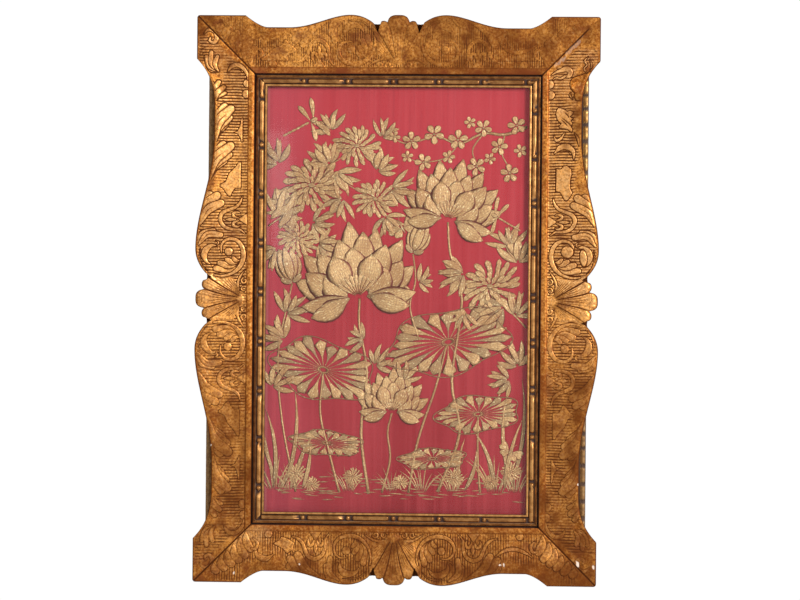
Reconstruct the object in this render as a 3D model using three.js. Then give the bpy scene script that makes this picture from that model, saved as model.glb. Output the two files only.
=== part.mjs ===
// A flat silk panel behind glass in a carved, gilded wood frame with wavy outer edges.
// Millimetres, +Z up. The back lies in the plane y = 0 and the front looks towards -Y.
// The origin is the middle of the back.
import * as THREE from 'three';

// Plan sizes, as seen from the front.
const openingWidth = 433; // between the inner edges of the side rails
const openingHeight = 679; // between the inner edges of the top and bottom rails
const railWidth = 86; // from the inner edge to the outside of a corner block
const cornerReach = 16.5; // corner blocks stand this far out past the back frame
const slipWidth = 19.5; // the narrow bead moulding between the rails and the silk
const slipOverGlass = 8; // how far the slip covers the edge of the glass
const play = 0.3; // clearance between neighbouring pieces

// Depths, counted forward from the wall.
const boardDepth = 12.4;
const silkThickness = 2;
const glassThickness = 3;
const backDepth = 18;

// Places that follow from the sizes above.
const backWidth = railWidth - cornerReach + slipWidth - slipOverGlass;
const silkBack = boardDepth + play;
const glassBack = silkBack + silkThickness + play;
const frontSeat = backDepth + play; // rails and slip lie on the back frame here
const mitreCut = (play / 2) * Math.SQRT2; // measured along a rail
const packWidth = openingWidth - 2 * (slipWidth - slipOverGlass + play);
const packHeight = openingHeight - 2 * (slipWidth - slipOverGlass + play);

// A rail's front surface: heights above its flat back.
const borderWidth = 8; // plain band along the inner edge
const borderHeight = 11;
const borderRound = 1.4; // the border's inner corner is eased by this much
const fieldStart = 10; // the carved field begins this far out
const fieldLow = 9.6; // the field is a scoop that rises outwards
const fieldRise = 11.5;
const scoopPower = 1.6;
const edgeRoll = 3; // the outer edge rounds down by this much
const rollStart = 0.84; // share of the field where the rounding begins
const fieldShares = [0.02, 0.2, 0.38, 0.56, 0.72, 0.86, 0.95, 1]; // columns across the field
const carvedFade = 8; // high power, so the carved forms die out only near the edge

// The outer edge of a rail. Places run along the rail from its middle, and reaches
// are counted outwards from the side of the back frame. From the middle come a blunt
// lobe, a small petal, a notch, a shoulder with a long fall into a dip, and a slope up
// to the corner block. The slope power says how much that slope steepens.
const sideEdge = {
  lobeHalf: 14, lobeReach: 15.6, lobeFoot: 1.8,
  petalEnd: 29, petalReach: 6.3, petalFoot: 0.6,
  riseStart: 35, riseFoot: 0, notchDepth: 3,
  peakAt: 76.5, peakReach: 16.5,
  dipAt: 247.5, dipReach: -10.5,
  blockStart: 357, slopePower: 3.1,
};
const topEdge = {
  lobeHalf: 16.5, lobeReach: 18, lobeFoot: 5.4,
  petalEnd: 27.5, petalReach: 9.2, petalFoot: 5.8,
  riseStart: 36.5, riseFoot: 6.4, notchDepth: 12,
  peakAt: 72, peakReach: 18,
  dipAt: 168, dipReach: -1.2,
  blockStart: 228, slopePower: 3.8,
};
const lobePower = 3.2; // above 2 the middle lobe is blunter than an ellipse
const risePower = 2.2; // roundness of the shoulder on its side towards the middle
const fallPower = 0.92; // leans the long fall of the shoulder inwards

// The shell carved at the middle of each rail is a fan of ribs round a point near
// the inner edge, and a low dome swells each shoulder.
const shellRise = 2.6;
const shellFoot = 12; // middle of the fan, from the inner edge
const shellHalfAngle = 0.62;
const shellRibs = 7; // ribs between the middle of the fan and its side
const shellGroove = 0.35; // depth of the grooves as a share of the rise
const shellFan = { startRadius: 4, fullRadius: 30, fadeFrom: 0.8 };
const shoulderRise = 2;
const shoulderRadius = 34;
const shoulderOut = 44; // middle of the dome, from the inner edge

// The rounded band at the outer front corner of the back frame, below its front face.
const edgeBand = { halfWidth: 4, rise: 4.6, sunk: 5, groove: 1.5 };

const colours = {
  gilding: 0xb9783a,
  darkWood: 0x6b4326,
  silk: 0xc04a56,
  glass: 0xe8eef0,
};

function smoothStep(low, high, value) {
  const share = Math.min(1, Math.max(0, (value - low) / (high - low)));
  return share * share * (3 - 2 * share);
}

// How far the edge reaches past the back frame at a place along the rail.
function edgeReach(edge, along) {
  const place = Math.abs(along);
  if (place < edge.lobeHalf) {
    const share = place / edge.lobeHalf;
    return edge.lobeFoot + (edge.lobeReach - edge.lobeFoot) * Math.sqrt(1 - share ** lobePower);
  }
  if (place < edge.petalEnd) {
    const half = (edge.petalEnd - edge.lobeHalf) / 2;
    const share = (place - edge.lobeHalf - half) / half;
    return edge.petalFoot + (edge.petalReach - edge.petalFoot) * Math.sqrt(Math.max(0, 1 - share ** 2));
  }
  if (place < edge.riseStart) {
    const share = (place - edge.petalEnd) / (edge.riseStart - edge.petalEnd);
    const rim = THREE.MathUtils.lerp(edge.petalFoot, edge.riseFoot, share);
    return rim - edge.notchDepth * (1 - Math.abs(2 * share - 1));
  }
  if (place < edge.peakAt) {
    const share = (edge.peakAt - place) / (edge.peakAt - edge.riseStart);
    return edge.riseFoot + (edge.peakReach - edge.riseFoot) * (1 - share ** risePower);
  }
  if (place < edge.dipAt) {
    const share = ((place - edge.peakAt) / (edge.dipAt - edge.peakAt)) ** fallPower;
    return edge.dipReach + (edge.peakReach - edge.dipReach) * (1 + Math.cos(Math.PI * share)) / 2;
  }
  const share = Math.min(1, (place - edge.dipAt) / (edge.blockStart - edge.dipAt));
  return edge.dipReach + (cornerReach - edge.dipReach) * share ** edge.slopePower;
}

// Height of the carved field, before the shell and the shoulder domes.
function scoopHeight(share) {
  const rounding = Math.max(0, (share - rollStart) / (1 - rollStart));
  return fieldLow + fieldRise * share ** scoopPower - edgeRoll * rounding ** 2;
}

function shellHeight(along, out) {
  const radius = Math.hypot(along, out - shellFoot);
  const angle = Math.atan2(Math.abs(along), out - shellFoot);
  const inFan = 1 - smoothStep(shellHalfAngle * shellFan.fadeFrom, shellHalfAngle, angle);
  const rib = 1 - shellGroove + shellGroove * Math.cos(angle * shellRibs * Math.PI / shellHalfAngle);
  return shellRise * inFan * rib * smoothStep(shellFan.startRadius, shellFan.fullRadius, radius);
}

function shoulderHeight(edge, along, out) {
  const distance = Math.hypot(Math.abs(along) - edge.peakAt, out - shoulderOut);
  return shoulderRise * (1 - smoothStep(0, shoulderRadius, distance));
}

// The front of a rail across one station: distance out from the inner edge, and
// height above the back.
function railColumns(edge, width, alongAt) {
  const border = [
    { out: 0, height: borderHeight - borderRound },
    { out: borderRound, height: borderHeight },
    { out: borderWidth, height: borderHeight },
  ];
  const field = fieldShares.map((share) => {
    const out = fieldStart + share * (width - fieldStart);
    const along = alongAt(out);
    const carved = shellHeight(along, out) + shoulderHeight(edge, along, out);
    return { out, height: scoopHeight(share) + carved * (1 - share ** carvedFade) };
  });
  return [...border, ...field];
}

// Places of the stations along half a rail, close together where the edge turns.
function halfStations(edge, halfOuter) {
  const stretches = [
    { to: edge.lobeHalf * 0.98, steps: 5 },
    { to: edge.lobeHalf, steps: 1 },
    { to: edge.petalEnd, steps: 5 },
    { to: edge.riseStart, steps: 4 },
    { to: edge.peakAt, steps: 6 },
    { to: edge.dipAt, steps: Math.round((edge.dipAt - edge.peakAt) / 15) },
    { to: edge.blockStart, steps: 8 },
    { to: halfOuter, steps: 3 },
  ];
  const places = [0];
  for (const { to, steps } of stretches) {
    const from = places.at(-1);
    for (let step = 1; step <= steps; step += 1) {
      places.push(from + (to - from) * step / steps);
    }
  }
  return places;
}

// A closed body through rings of points. A ring lies across X, and its points run
// from +Y towards +Z.
function loft(rings) {
  const count = rings[0].length;
  const positions = rings.flat(2);
  const faces = [];
  for (let ring = 0; ring < rings.length - 1; ring += 1) {
    for (let point = 0; point < count; point += 1) {
      const a = ring * count + point;
      const b = ring * count + (point + 1) % count;
      faces.push(a, b, b + count, a, b + count, a + count);
    }
  }
  const lastRing = (rings.length - 1) * count;
  const section = (ring) => ring.map(([, y, z]) => new THREE.Vector2(y, z));
  for (const [a, b, c] of THREE.ShapeUtils.triangulateShape(section(rings[0]), [])) {
    faces.push(a, c, b);
  }
  for (const [a, b, c] of THREE.ShapeUtils.triangulateShape(section(rings.at(-1)), [])) {
    faces.push(lastRing + a, lastRing + b, lastRing + c);
  }
  const geometry = new THREE.BufferGeometry();
  geometry.setAttribute('position', new THREE.Float32BufferAttribute(positions, 3));
  geometry.setIndex(faces);
  geometry.computeVertexNormals();
  return geometry;
}

// A carved rail. It runs along X with its inner edge on the X axis, +Z outwards.
function railGeometry(edge, halfInner) {
  const halfOuter = halfInner + railWidth;
  const half = halfStations(edge, halfOuter);
  const places = [...half.slice(1).reverse().map((place) => -place), ...half];
  const rings = places.map((place) => {
    const width = railWidth - cornerReach + edgeReach(edge, place);
    const share = place / halfOuter;
    const alongAt = (out) => share * (halfInner - mitreCut + railWidth * out / width);
    const front = railColumns(edge, width, alongAt).reverse();
    const points = front.map(({ out, height }) => [alongAt(out), -frontSeat - height, out]);
    points.push([alongAt(0), -frontSeat, 0], [alongAt(width), -frontSeat, width]);
    return points;
  });
  return loft(rings);
}

// A straight strip with mitred ends. The profile lists distance out and depth.
function stripGeometry(profile, halfInner) {
  const ring = (end) => profile.map(([out, depth]) => [end * (halfInner + out - mitreCut), -depth, out]);
  return loft([ring(-1), ring(1)]);
}

// The slip's section: a thin fillet at the silk, the bead band, and an outer fillet.
function slipProfile() {
  const face = [
    { out: slipWidth - play, rise: 3 },
    { out: 17.6, rise: 3 },
    { out: 17.2, rise: 6.4 },
    { out: 15.4, rise: 7 },
    { out: 13.8, rise: 6 },
    { out: 13.2, rise: 3.6 },
    { out: 11.4, rise: 3.2 },
    { out: 11, rise: 4.6 },
    { out: 9.6, rise: 6.2 },
    { out: 7.8, rise: 6.6 },
    { out: 6, rise: 6.2 },
    { out: 4.6, rise: 4.6 },
    { out: 4.2, rise: 2.8 },
    { out: 3, rise: 2.8 },
    { out: 2.6, rise: 4.2 },
    { out: 1.2, rise: 4.6 },
    { out: 0, rise: 3.8 },
  ];
  const front = face.map(({ out, rise }) => [out, frontSeat + rise]);
  return [...front, [0, frontSeat], [slipWidth - play, frontSeat]];
}

// The back frame's section: a plain board with a rounded band at its outer front corner.
function backProfile() {
  const bandMiddle = backWidth - edgeBand.halfWidth;
  const bandFoot = backDepth - edgeBand.sunk;
  const band = [0, 30, 60, 90, 120, 150, 180].map((degrees) => {
    const turn = THREE.MathUtils.degToRad(degrees);
    const out = bandMiddle + edgeBand.halfWidth * Math.cos(turn);
    return [out, bandFoot + edgeBand.rise * Math.sin(turn)];
  });
  const grooveEnd = bandMiddle - edgeBand.halfWidth - edgeBand.groove;
  const front = [...band, [grooveEnd, bandFoot], [grooveEnd, backDepth], [0, backDepth]];
  return [...front, [0, 0], [backWidth, 0]];
}

function finish(colour, roughness, metalness, more = {}) {
  return new THREE.MeshStandardMaterial({ color: colour, roughness, metalness, ...more });
}

function piece(name, geometry, material) {
  const mesh = new THREE.Mesh(geometry, material);
  mesh.name = name;
  return mesh;
}

// Sets four mitred pieces round an opening: the tops and the sides share a section.
function mitredFrame(prefix, width, height, makeGeometry, makeMaterial) {
  const sides = [
    { side: 'top', turn: 0, x: 0, z: height / 2, long: width },
    { side: 'right', turn: Math.PI / 2, x: width / 2, z: 0, long: height },
    { side: 'bottom', turn: Math.PI, x: 0, z: -height / 2, long: width },
    { side: 'left', turn: -Math.PI / 2, x: -width / 2, z: 0, long: height },
  ];
  const group = new THREE.Group();
  for (const { side, turn, x, z, long } of sides) {
    const mesh = piece(`${prefix}_${side}`, makeGeometry(side, long / 2), makeMaterial());
    mesh.position.set(x, 0, z);
    mesh.rotation.y = turn;
    group.add(mesh);
  }
  return group;
}

function rails() {
  const edges = { top: topEdge, bottom: topEdge, left: sideEdge, right: sideEdge };
  const shape = (side, half) => railGeometry(edges[side], half);
  return mitredFrame('rail', openingWidth, openingHeight, shape, () => finish(colours.gilding, 0.45, 0.55));
}

function slips() {
  const width = openingWidth - 2 * slipWidth;
  const height = openingHeight - 2 * slipWidth;
  const shape = (side, half) => stripGeometry(slipProfile(), half);
  return mitredFrame('slip', width, height, shape, () => finish(colours.gilding, 0.5, 0.5));
}

function backFrame() {
  const inset = 2 * (slipWidth - slipOverGlass);
  const shape = (side, half) => stripGeometry(backProfile(), half);
  return mitredFrame('back', openingWidth - inset, openingHeight - inset, shape,
    () => finish(colours.darkWood, 0.8, 0));
}

// A flat sheet or board that fills the back frame's opening.
function packSheet(name, thickness, depth, material) {
  const mesh = piece(name, new THREE.BoxGeometry(packWidth, thickness, packHeight), material);
  mesh.position.y = -depth - thickness / 2;
  return mesh;
}

const framedSilk = new THREE.Group();
framedSilk.add(rails(), slips(), backFrame());
framedSilk.add(packSheet('glass', glassThickness, glassBack,
  finish(colours.glass, 0.05, 0, { transparent: true, opacity: 0.2 })));
framedSilk.add(packSheet('silk', silkThickness, silkBack, finish(colours.silk, 0.6, 0)));
framedSilk.add(packSheet('backboard', boardDepth, 0, finish(colours.darkWood, 0.85, 0)));

export default framedSilk;
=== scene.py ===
# A silk panel with gold-thread embroidery behind glass, in a carved and gilded frame.
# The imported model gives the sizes. The tables here are in millimetres unless a note says otherwise.
import math
import bpy
import numpy as np
from mathutils import Matrix, Vector


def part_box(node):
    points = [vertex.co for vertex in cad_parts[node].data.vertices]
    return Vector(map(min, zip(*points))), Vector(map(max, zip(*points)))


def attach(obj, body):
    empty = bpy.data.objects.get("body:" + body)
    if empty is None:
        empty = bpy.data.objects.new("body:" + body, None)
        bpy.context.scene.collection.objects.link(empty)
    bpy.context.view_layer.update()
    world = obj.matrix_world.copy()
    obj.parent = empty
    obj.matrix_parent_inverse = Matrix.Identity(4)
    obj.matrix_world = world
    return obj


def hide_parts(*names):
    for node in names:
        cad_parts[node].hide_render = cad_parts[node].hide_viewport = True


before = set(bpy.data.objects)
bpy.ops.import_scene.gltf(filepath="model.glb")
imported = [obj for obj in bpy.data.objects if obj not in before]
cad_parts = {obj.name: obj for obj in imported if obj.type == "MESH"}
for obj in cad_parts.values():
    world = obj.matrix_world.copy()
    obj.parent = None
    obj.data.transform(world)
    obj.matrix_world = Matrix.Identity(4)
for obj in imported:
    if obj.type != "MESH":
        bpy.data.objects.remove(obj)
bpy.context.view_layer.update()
mm = 0.001


def say(text):
    print("scene:", text)


def boxOf(node):
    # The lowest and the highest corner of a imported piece, in millimetres.
    return [np.array(corner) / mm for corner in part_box(node)]


def fitted(piece, node):
    # A finished piece rides the body, in place of a packed one where there is one.
    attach(piece, "root")
    if node:
        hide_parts(node)
    say(f"{piece.name}, {len(piece.data.polygons)} faces")
    return piece


# Plan sizes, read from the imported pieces. A pair of halves is half a width and half a height.
railLow, railHigh = boxOf("rail_right")
slipLow, slipHigh = boxOf("slip_right")
silkHigh = boxOf("silk")[1]
openingHalves = float(railLow[0]), float(boxOf("rail_top")[0][2])
backHalfOuter = float(boxOf("back_right")[1][0])
railSeat = -railHigh[1]     # depth of the rails' flat back in front of the wall
cornerReach = 16.5          # how far the corner blocks stand past the back frame
railWidth = backHalfOuter - openingHalves[0] + cornerReach
mitreGap = 0.03             # mitres are nearly closed, measured along a strip
say(f"opening {2 * openingHalves[0]:.1f} x {2 * openingHalves[1]:.1f} mm, rails {railWidth:.1f} mm wide")


# Small tools for numpy grids

def smoothStep(low, high, value):
    share = np.clip((value - low) / (high - low), 0, 1)
    return share * share * (3 - 2 * share)


def softNoise(x, y, cell, seed):
    # Random values on a square grid, blended smoothly between the grid's points: -1 to 1.
    values = np.random.default_rng(seed).uniform(-1, 1, (64, 64))
    gx, gy = x / cell + 1000, y / cell + 1000
    ix, iy = np.floor(gx).astype(int), np.floor(gy).astype(int)
    fx, fy = gx - ix, gy - iy
    fx, fy = fx * fx * (3 - 2 * fx), fy * fy * (3 - 2 * fy)
    low = values[ix % 64, iy % 64] * (1 - fx) + values[(ix + 1) % 64, iy % 64] * fx
    high = values[ix % 64, (iy + 1) % 64] * (1 - fx) + values[(ix + 1) % 64, (iy + 1) % 64] * fx
    return low * (1 - fy) + high * fy


def smoothCurve(points, perSpan=8):
    # A Catmull-Rom curve through the points, as an array of places.
    p = np.asarray(points, float)
    p = np.vstack([2 * p[0] - p[1], p, 2 * p[-1] - p[-2]])
    t = np.linspace(0, 1, perSpan, endpoint=False)[:, None]
    spans = [0.5 * (2 * p[i] + (p[i + 1] - p[i - 1]) * t
                    + (2 * p[i - 1] - 5 * p[i] + 4 * p[i + 1] - p[i + 2]) * t ** 2
                    + (3 * p[i] - p[i - 1] - 3 * p[i + 1] + p[i + 2]) * t ** 3)
             for i in range(1, len(p) - 2)]
    return np.vstack(spans + [p[-2:-1]])


def makeObject(name, points, quads, caps=(), uv=None, values=None, sharpAngle=None):
    # Points in millimetres, faces of four corners, and end caps of many.
    mesh = bpy.data.meshes.new(name)
    corners = np.concatenate([np.asarray(quads, np.int32).ravel(), *[np.asarray(c, np.int32) for c in caps]])
    sizes = np.concatenate([np.full(len(quads), 4), [len(c) for c in caps]]).astype(np.int32)
    mesh.vertices.add(len(points))
    mesh.vertices.foreach_set("co", (np.asarray(points, float) * mm).astype(np.float32).ravel())
    mesh.loops.add(len(corners))
    mesh.loops.foreach_set("vertex_index", corners)
    mesh.polygons.add(len(sizes))
    mesh.polygons.foreach_set("loop_start", np.concatenate([[0], np.cumsum(sizes)[:-1]]).astype(np.int32))
    mesh.polygons.foreach_set("use_smooth", np.ones(len(sizes), bool))
    if uv is not None:
        layer = mesh.uv_layers.new(name="uv")
        layer.data.foreach_set("uv", np.asarray(uv, np.float32)[corners].ravel())
    for key, value in (values or {}).items():
        attribute = mesh.attributes.new(key, "FLOAT", "POINT")
        attribute.data.foreach_set("value", np.asarray(value, np.float32).ravel())
    mesh.update(calc_edges=True)
    mesh.validate()
    if sharpAngle is not None:
        mesh.set_sharp_from_angle(angle=math.radians(sharpAngle))
    obj = bpy.data.objects.new(name, mesh)
    bpy.context.scene.collection.objects.link(obj)
    return obj


def ringFaces(rings, count):
    # Faces between neighbouring rings of points; each ring closes on itself.
    ring = np.arange(rings - 1)[:, None] * count
    point = np.arange(count)[None, :]
    following = (point + 1) % count
    return np.stack([ring + point, ring + following, ring + following + count, ring + point + count],
                    -1).reshape(-1, 4)


# Carved rails. Places run along the rail from its middle and out from its inner edge.

sideEdge = {
    "lobeHalf": 14, "lobeReach": 15.6, "lobeFoot": 1.8,
    "petalEnd": 29, "petalReach": 6.3, "petalFoot": 0.6,
    "riseStart": 38, "riseFoot": 0.4, "notchDepth": 0.5, "webAt": 32.5, "webLow": -8.5,
    "peakAt": 76.5, "peakReach": 16.5,
    "dipAt": 247.5, "dipReach": -10.5,
    "slopeStart": 280, "blockStart": 360, "slopePower": 2.9,
}
topEdge = {
    "lobeHalf": 16.5, "lobeReach": 18, "lobeFoot": 5.4,
    "petalEnd": 27.5, "petalReach": 9.2, "petalFoot": 5.8,
    "riseStart": 37.5, "riseFoot": 6.0, "notchDepth": 0.6, "webAt": 31, "webLow": -8,
    "peakAt": 72, "peakReach": 18,
    "dipAt": 164, "dipReach": -1.2,
    "slopeStart": 197, "blockStart": 229.5, "slopePower": 1.5,
}
railForm = {
    "stations": 0.81,         # step along the outer edge
    "columns": 84,            # points across
    "borderWidth": 8, "borderHeight": 11, "borderRound": 1.1, "borderSlope": 4.2,
    "fieldStart": 10, "fieldLow": 9.6, "fieldRise": 11.5, "scoopPower": 1.6,
    "edgeRoll": 3, "rollStart": 0.84,
    "grooveAt": 9.3, "grooveDeep": 0.35, "grooveWide": 0.6,        # the line between border and hollow
    "domeFoot": 12, "domeRise": 2.2, "domeAngles": (26, 36),       # the swelling under the shell
    "shoulderOut": 44, "shoulderRise": 2.0, "shoulderWide": 34,
    "shellFoot": 13.0,
    "cornerRadius": 4,
    "handWobble": 1.1,        # the carver's unevenness
    # how far from the rail's end the hatching stops
    "hatchEnd": {"top": 30, "right": 48, "bottom": 30, "left": 30},
    # what the rubbing has left of hatching and relief, at negative places along the rail and at positive ones
    "hatchKept": {"top": (0.52, 0.42), "right": (1.0, 0.6), "bottom": (0.48, 0.48), "left": (0.62, 1.0)},
    "reliefKept": {"top": (0.42, 0.34), "right": (1.0, 0.55), "bottom": (0.72, 0.62), "left": (0.6, 1.0)},
}
carving = {
    "groundSunk": 0.5, "motifLift": 0.3,
    "outlineCut": 1.1, "outlineWidth": 0.62, "shapeEdge": 0.9,
    "hatchPitch": {"top": 3.4, "right": 4.3, "bottom": 3.8, "left": 4.3}, "hatchCut": 1.0, "hatchShare": 0.62,
    "ledgeOut": 19.6, "ledgeWide": 0.6, "ledgeCut": 0.6,       # a line under the reserve
    "ridgePale": 0.75,                                         # gilding left on the ridges of the hatching
    "mitreCut": 1.2, "mitreWidth": 1.08,
}


def edgeReach(edge, along):
    # How far the edge reaches past the back frame: lobe, petal, notch, shoulder, dip and block.
    place = np.abs(along)

    def share(low, high):
        return np.clip((place - low) / (high - low), 0, 1)

    lobe = edge["lobeFoot"] + (edge["lobeReach"] - edge["lobeFoot"]) * np.sqrt(
        1 - share(0, edge["lobeHalf"]) ** 3.2)
    across = 2 * share(edge["lobeHalf"], edge["petalEnd"]) - 1
    petal = edge["petalFoot"] + (edge["petalReach"] - edge["petalFoot"]) * np.sqrt(1 - across ** 2)
    web = share(edge["petalEnd"], edge["riseStart"])
    notch = (edge["petalFoot"] + (edge["riseFoot"] - edge["petalFoot"]) * web
             - edge["notchDepth"] * (1 - np.abs(2 * web - 1)))
    rise = edge["riseFoot"] + (edge["peakReach"] - edge["riseFoot"]) * (
        1 - (1 - share(edge["riseStart"], edge["peakAt"])) ** 2.2)
    fall = edge["dipReach"] + (edge["peakReach"] - edge["dipReach"]) * (
        1 + np.cos(np.pi * share(edge["peakAt"], edge["dipAt"]) ** 0.92)) / 2
    slope = edge["dipReach"] + (cornerReach - edge["dipReach"]) * share(
        edge["slopeStart"], edge["blockStart"]) ** edge["slopePower"]
    return np.select([place < edge["lobeHalf"], place < edge["petalEnd"], place < edge["riseStart"],
                      place < edge["peakAt"], place < edge["dipAt"]], [lobe, petal, notch, rise, fall], slope)


def edgeReachAt(edge, along):
    return float(edgeReach(edge, np.array([float(along)]))[0])


def notchFloor(edge, s, out):
    # 1 inside the deep cut between petal and shoulder: a V whose point lies inward. Out is counted as a reach.
    place = np.abs(s)
    start, stop = edge["petalEnd"] - 1.0, edge["riseStart"] + 1.0
    inner = np.clip((edge["webAt"] - place) / (edge["webAt"] - start), 0, 1)
    outer = np.clip((place - edge["webAt"]) / (stop - edge["webAt"]), 0, 1)
    level = edge["webLow"] + (edge["petalFoot"] + 1.5 - edge["webLow"]) * np.maximum(inner, outer) ** 0.9
    return smoothStep(-0.5, 0.8, out - level) * (place > start) * (place < stop)


def alongPath(s, u, curve):
    # Nearest place on a curve: its distance, and its share of the curve's length.
    steps = np.linalg.norm(np.diff(curve, axis=0), axis=1)
    lengths = np.concatenate([[0], np.cumsum(steps)])
    best = np.full(s.shape, 1e9)
    share = np.zeros(s.shape)
    for i, step in enumerate(steps):
        direction = (curve[i + 1] - curve[i]) / step
        ds, du = s - curve[i, 0], u - curve[i, 1]
        along = np.clip(ds * direction[0] + du * direction[1], 0, step)
        distance = np.hypot(ds - along * direction[0], du - along * direction[1])
        nearer = distance < best
        best = np.where(nearer, distance, best)
        share = np.where(nearer, (lengths[i] + along) / lengths[-1], share)
    return best, share


def nearBox(field, points, margin):
    # Which places of the field lie in the box round some points.
    low, high = np.min(points, 0) - margin, np.max(points, 0) + margin
    s, u = field["s"], field["u"]
    return np.flatnonzero((s > low[0]) & (s < high[0]) & (u > low[1]) & (u < high[1]))


def paint(field, pick, signed, lift):
    # Lays one shape over the ground: inside, the signed distance is below zero.
    inside = np.clip(0.5 - signed / carving["shapeEdge"], 0, 1)
    field["lift"][pick] += inside * (lift - field["lift"][pick])
    field["cut"][pick] *= 1 - inside
    field["ground"][pick] *= 1 - inside
    outline = carving["outlineCut"] * np.exp(-(signed / carving["outlineWidth"]) ** 2)
    field["cut"][pick] = np.maximum(field["cut"][pick], outline)


def paintBand(field, points, widths, lift=1.0, crown=0.12):
    # A smooth ribbon along a curve; widths are half widths at even shares of its length.
    curve = smoothCurve(points, 6)
    pick = nearBox(field, curve, max(widths) + 4)
    distance, share = alongPath(field["s"][pick], field["u"][pick], curve)
    half = np.interp(share, np.linspace(0, 1, len(widths)), widths)
    swell = crown * (1 - np.clip(distance / half, 0, 1) ** 2)
    paint(field, pick, distance - half, carving["motifLift"] * lift + swell)


def paintDisc(field, centre, radii, turn=0.0, dome=0.3):
    # A round or oval boss.
    pick = nearBox(field, np.array([centre]), max(radii) + 4)
    ds, du = field["s"][pick] - centre[0], field["u"][pick] - centre[1]
    a = ds * math.cos(turn) + du * math.sin(turn)
    b = du * math.cos(turn) - ds * math.sin(turn)
    r = np.hypot(a / radii[0], b / radii[1])
    paint(field, pick, (r - 1) * min(radii), carving["motifLift"] + dome * np.sqrt(np.clip(1 - r ** 2, 0, 1)))


def paintPatch(field, corners, lift=1.0):
    # A smooth reserve inside a closed outline.
    ring = np.asarray(corners, float)
    pick = nearBox(field, ring, 4)
    s, u = field["s"][pick], field["u"][pick]
    distance = np.full(s.shape, 1e9)
    inside = np.zeros(s.shape, bool)
    for a, b in zip(ring, np.roll(ring, -1, 0)):
        step = b - a
        t = np.clip(((s - a[0]) * step[0] + (u - a[1]) * step[1]) / (step @ step), 0, 1)
        distance = np.minimum(distance, np.hypot(s - a[0] - t * step[0], u - a[1] - t * step[1]))
        crosses = ((a[1] > u) != (b[1] > u)) & (
            s < (b[0] - a[0]) * (u - a[1]) / (b[1] - a[1] + 1e-9) + a[0])
        inside ^= crosses
    paint(field, pick, np.where(inside, -distance, distance), carving["motifLift"] * lift)


def paintCut(field, points, depth=1.0, width=0.7):
    # One stroke of the veining tool: a groove that thins out at both ends.
    curve = smoothCurve(points, 5)
    pick = nearBox(field, curve, 4)
    distance, share = alongPath(field["s"][pick], field["u"][pick], curve)
    taper = np.sin(np.pi * np.clip(share, 0.04, 0.96)) ** 0.5
    cut = depth * taper * np.exp(-(distance / width) ** 2)
    field["cut"][pick] = np.maximum(field["cut"][pick], cut)


def paintFingers(field, root, tips, bow=0.14):
    # An acanthus leaf: rounded fingers bend out from its root, each laid over the last.
    # A tip has its place and its half width.
    for s, u, half in tips:
        ds, du = s - root[0], u - root[1]
        bend = (root[0] + 0.5 * ds - bow * du, root[1] + 0.5 * du + bow * ds)
        widths = [half * share for share in (0.35, 0.85, 1.15, 1.2, 1.0)]
        paintBand(field, [root, bend, (s, u)], widths, lift=1.2, crown=0.3)
        if half > 4:
            near, far = (np.array(root) + share * (np.array(bend) - root) for share in (0.35, 1.0))
            paintCut(field, [near, far, far + 0.62 * (np.array([s, u]) - far)], 0.85, 0.55)


def spiral(centre, turns):
    # Points round a centre; each row of turns is an angle in degrees and a radius.
    angle, radius = np.radians([row[0] for row in turns]), np.array([row[1] for row in turns], float)
    return np.stack([centre[0] + radius * np.cos(angle), centre[1] + radius * np.sin(angle)], 1)


def carveShell(field, foot, tip):
    # A fan of ribs that spring from one point near the inner edge, with fine ribs at its sides.
    s, u = field["s"], field["u"]
    radius, angle = np.hypot(s, u - foot), np.degrees(np.arctan2(s, u - foot))
    reach = np.interp(angle, [0, 32, 40, 64], [tip + 40, tip + 10, 46, 34])
    pick = np.flatnonzero((angle < 63) & (radius < reach) & (u > foot + 0.5) & (s < 37))
    grooves = np.array([3.5, 8.5, 13.5, 18, 22.5, 27, 31.5, 36, 41, 46, 51, 56, 60.5])
    apart = np.abs(angle[pick][:, None] + 4 * np.sin(radius[pick][:, None] / 26) - 3 - grooves[None, :])
    nearest = np.radians(apart.min(1)) * radius[pick]
    which = apart.argmin(1)
    deep = np.isin(which, [2, 6])
    start = np.interp(angle[pick], [0, 60], [6, 3])
    shown = smoothStep(start, start + 9, radius[pick])
    ends = np.where(deep, 1.0, 1 - smoothStep(tip - 24, tip - 12, radius[pick] + 0.35 * angle[pick]))
    cut = np.where(deep, 1.4, 0.85) * np.exp(-(nearest / np.where(deep, 0.95, 0.6)) ** 2) * shown * ends
    pitch = 3.4     # of the arcs across the tip
    arcs = np.abs((radius[pick] / pitch) % 1 - 0.5) * 2 * pitch
    atTip = smoothStep(tip - 14, tip - 11, radius[pick]) * (angle[pick] < 12)
    cut = np.maximum(cut, 0.6 * np.exp(-(arcs / 0.7) ** 2) * atTip)
    field["ground"][pick] = 0
    field["lift"][pick] = 0.4 + 0.5 * shown * np.clip(nearest / 2.5, 0, 1)
    field["cut"][pick] = cut


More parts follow.
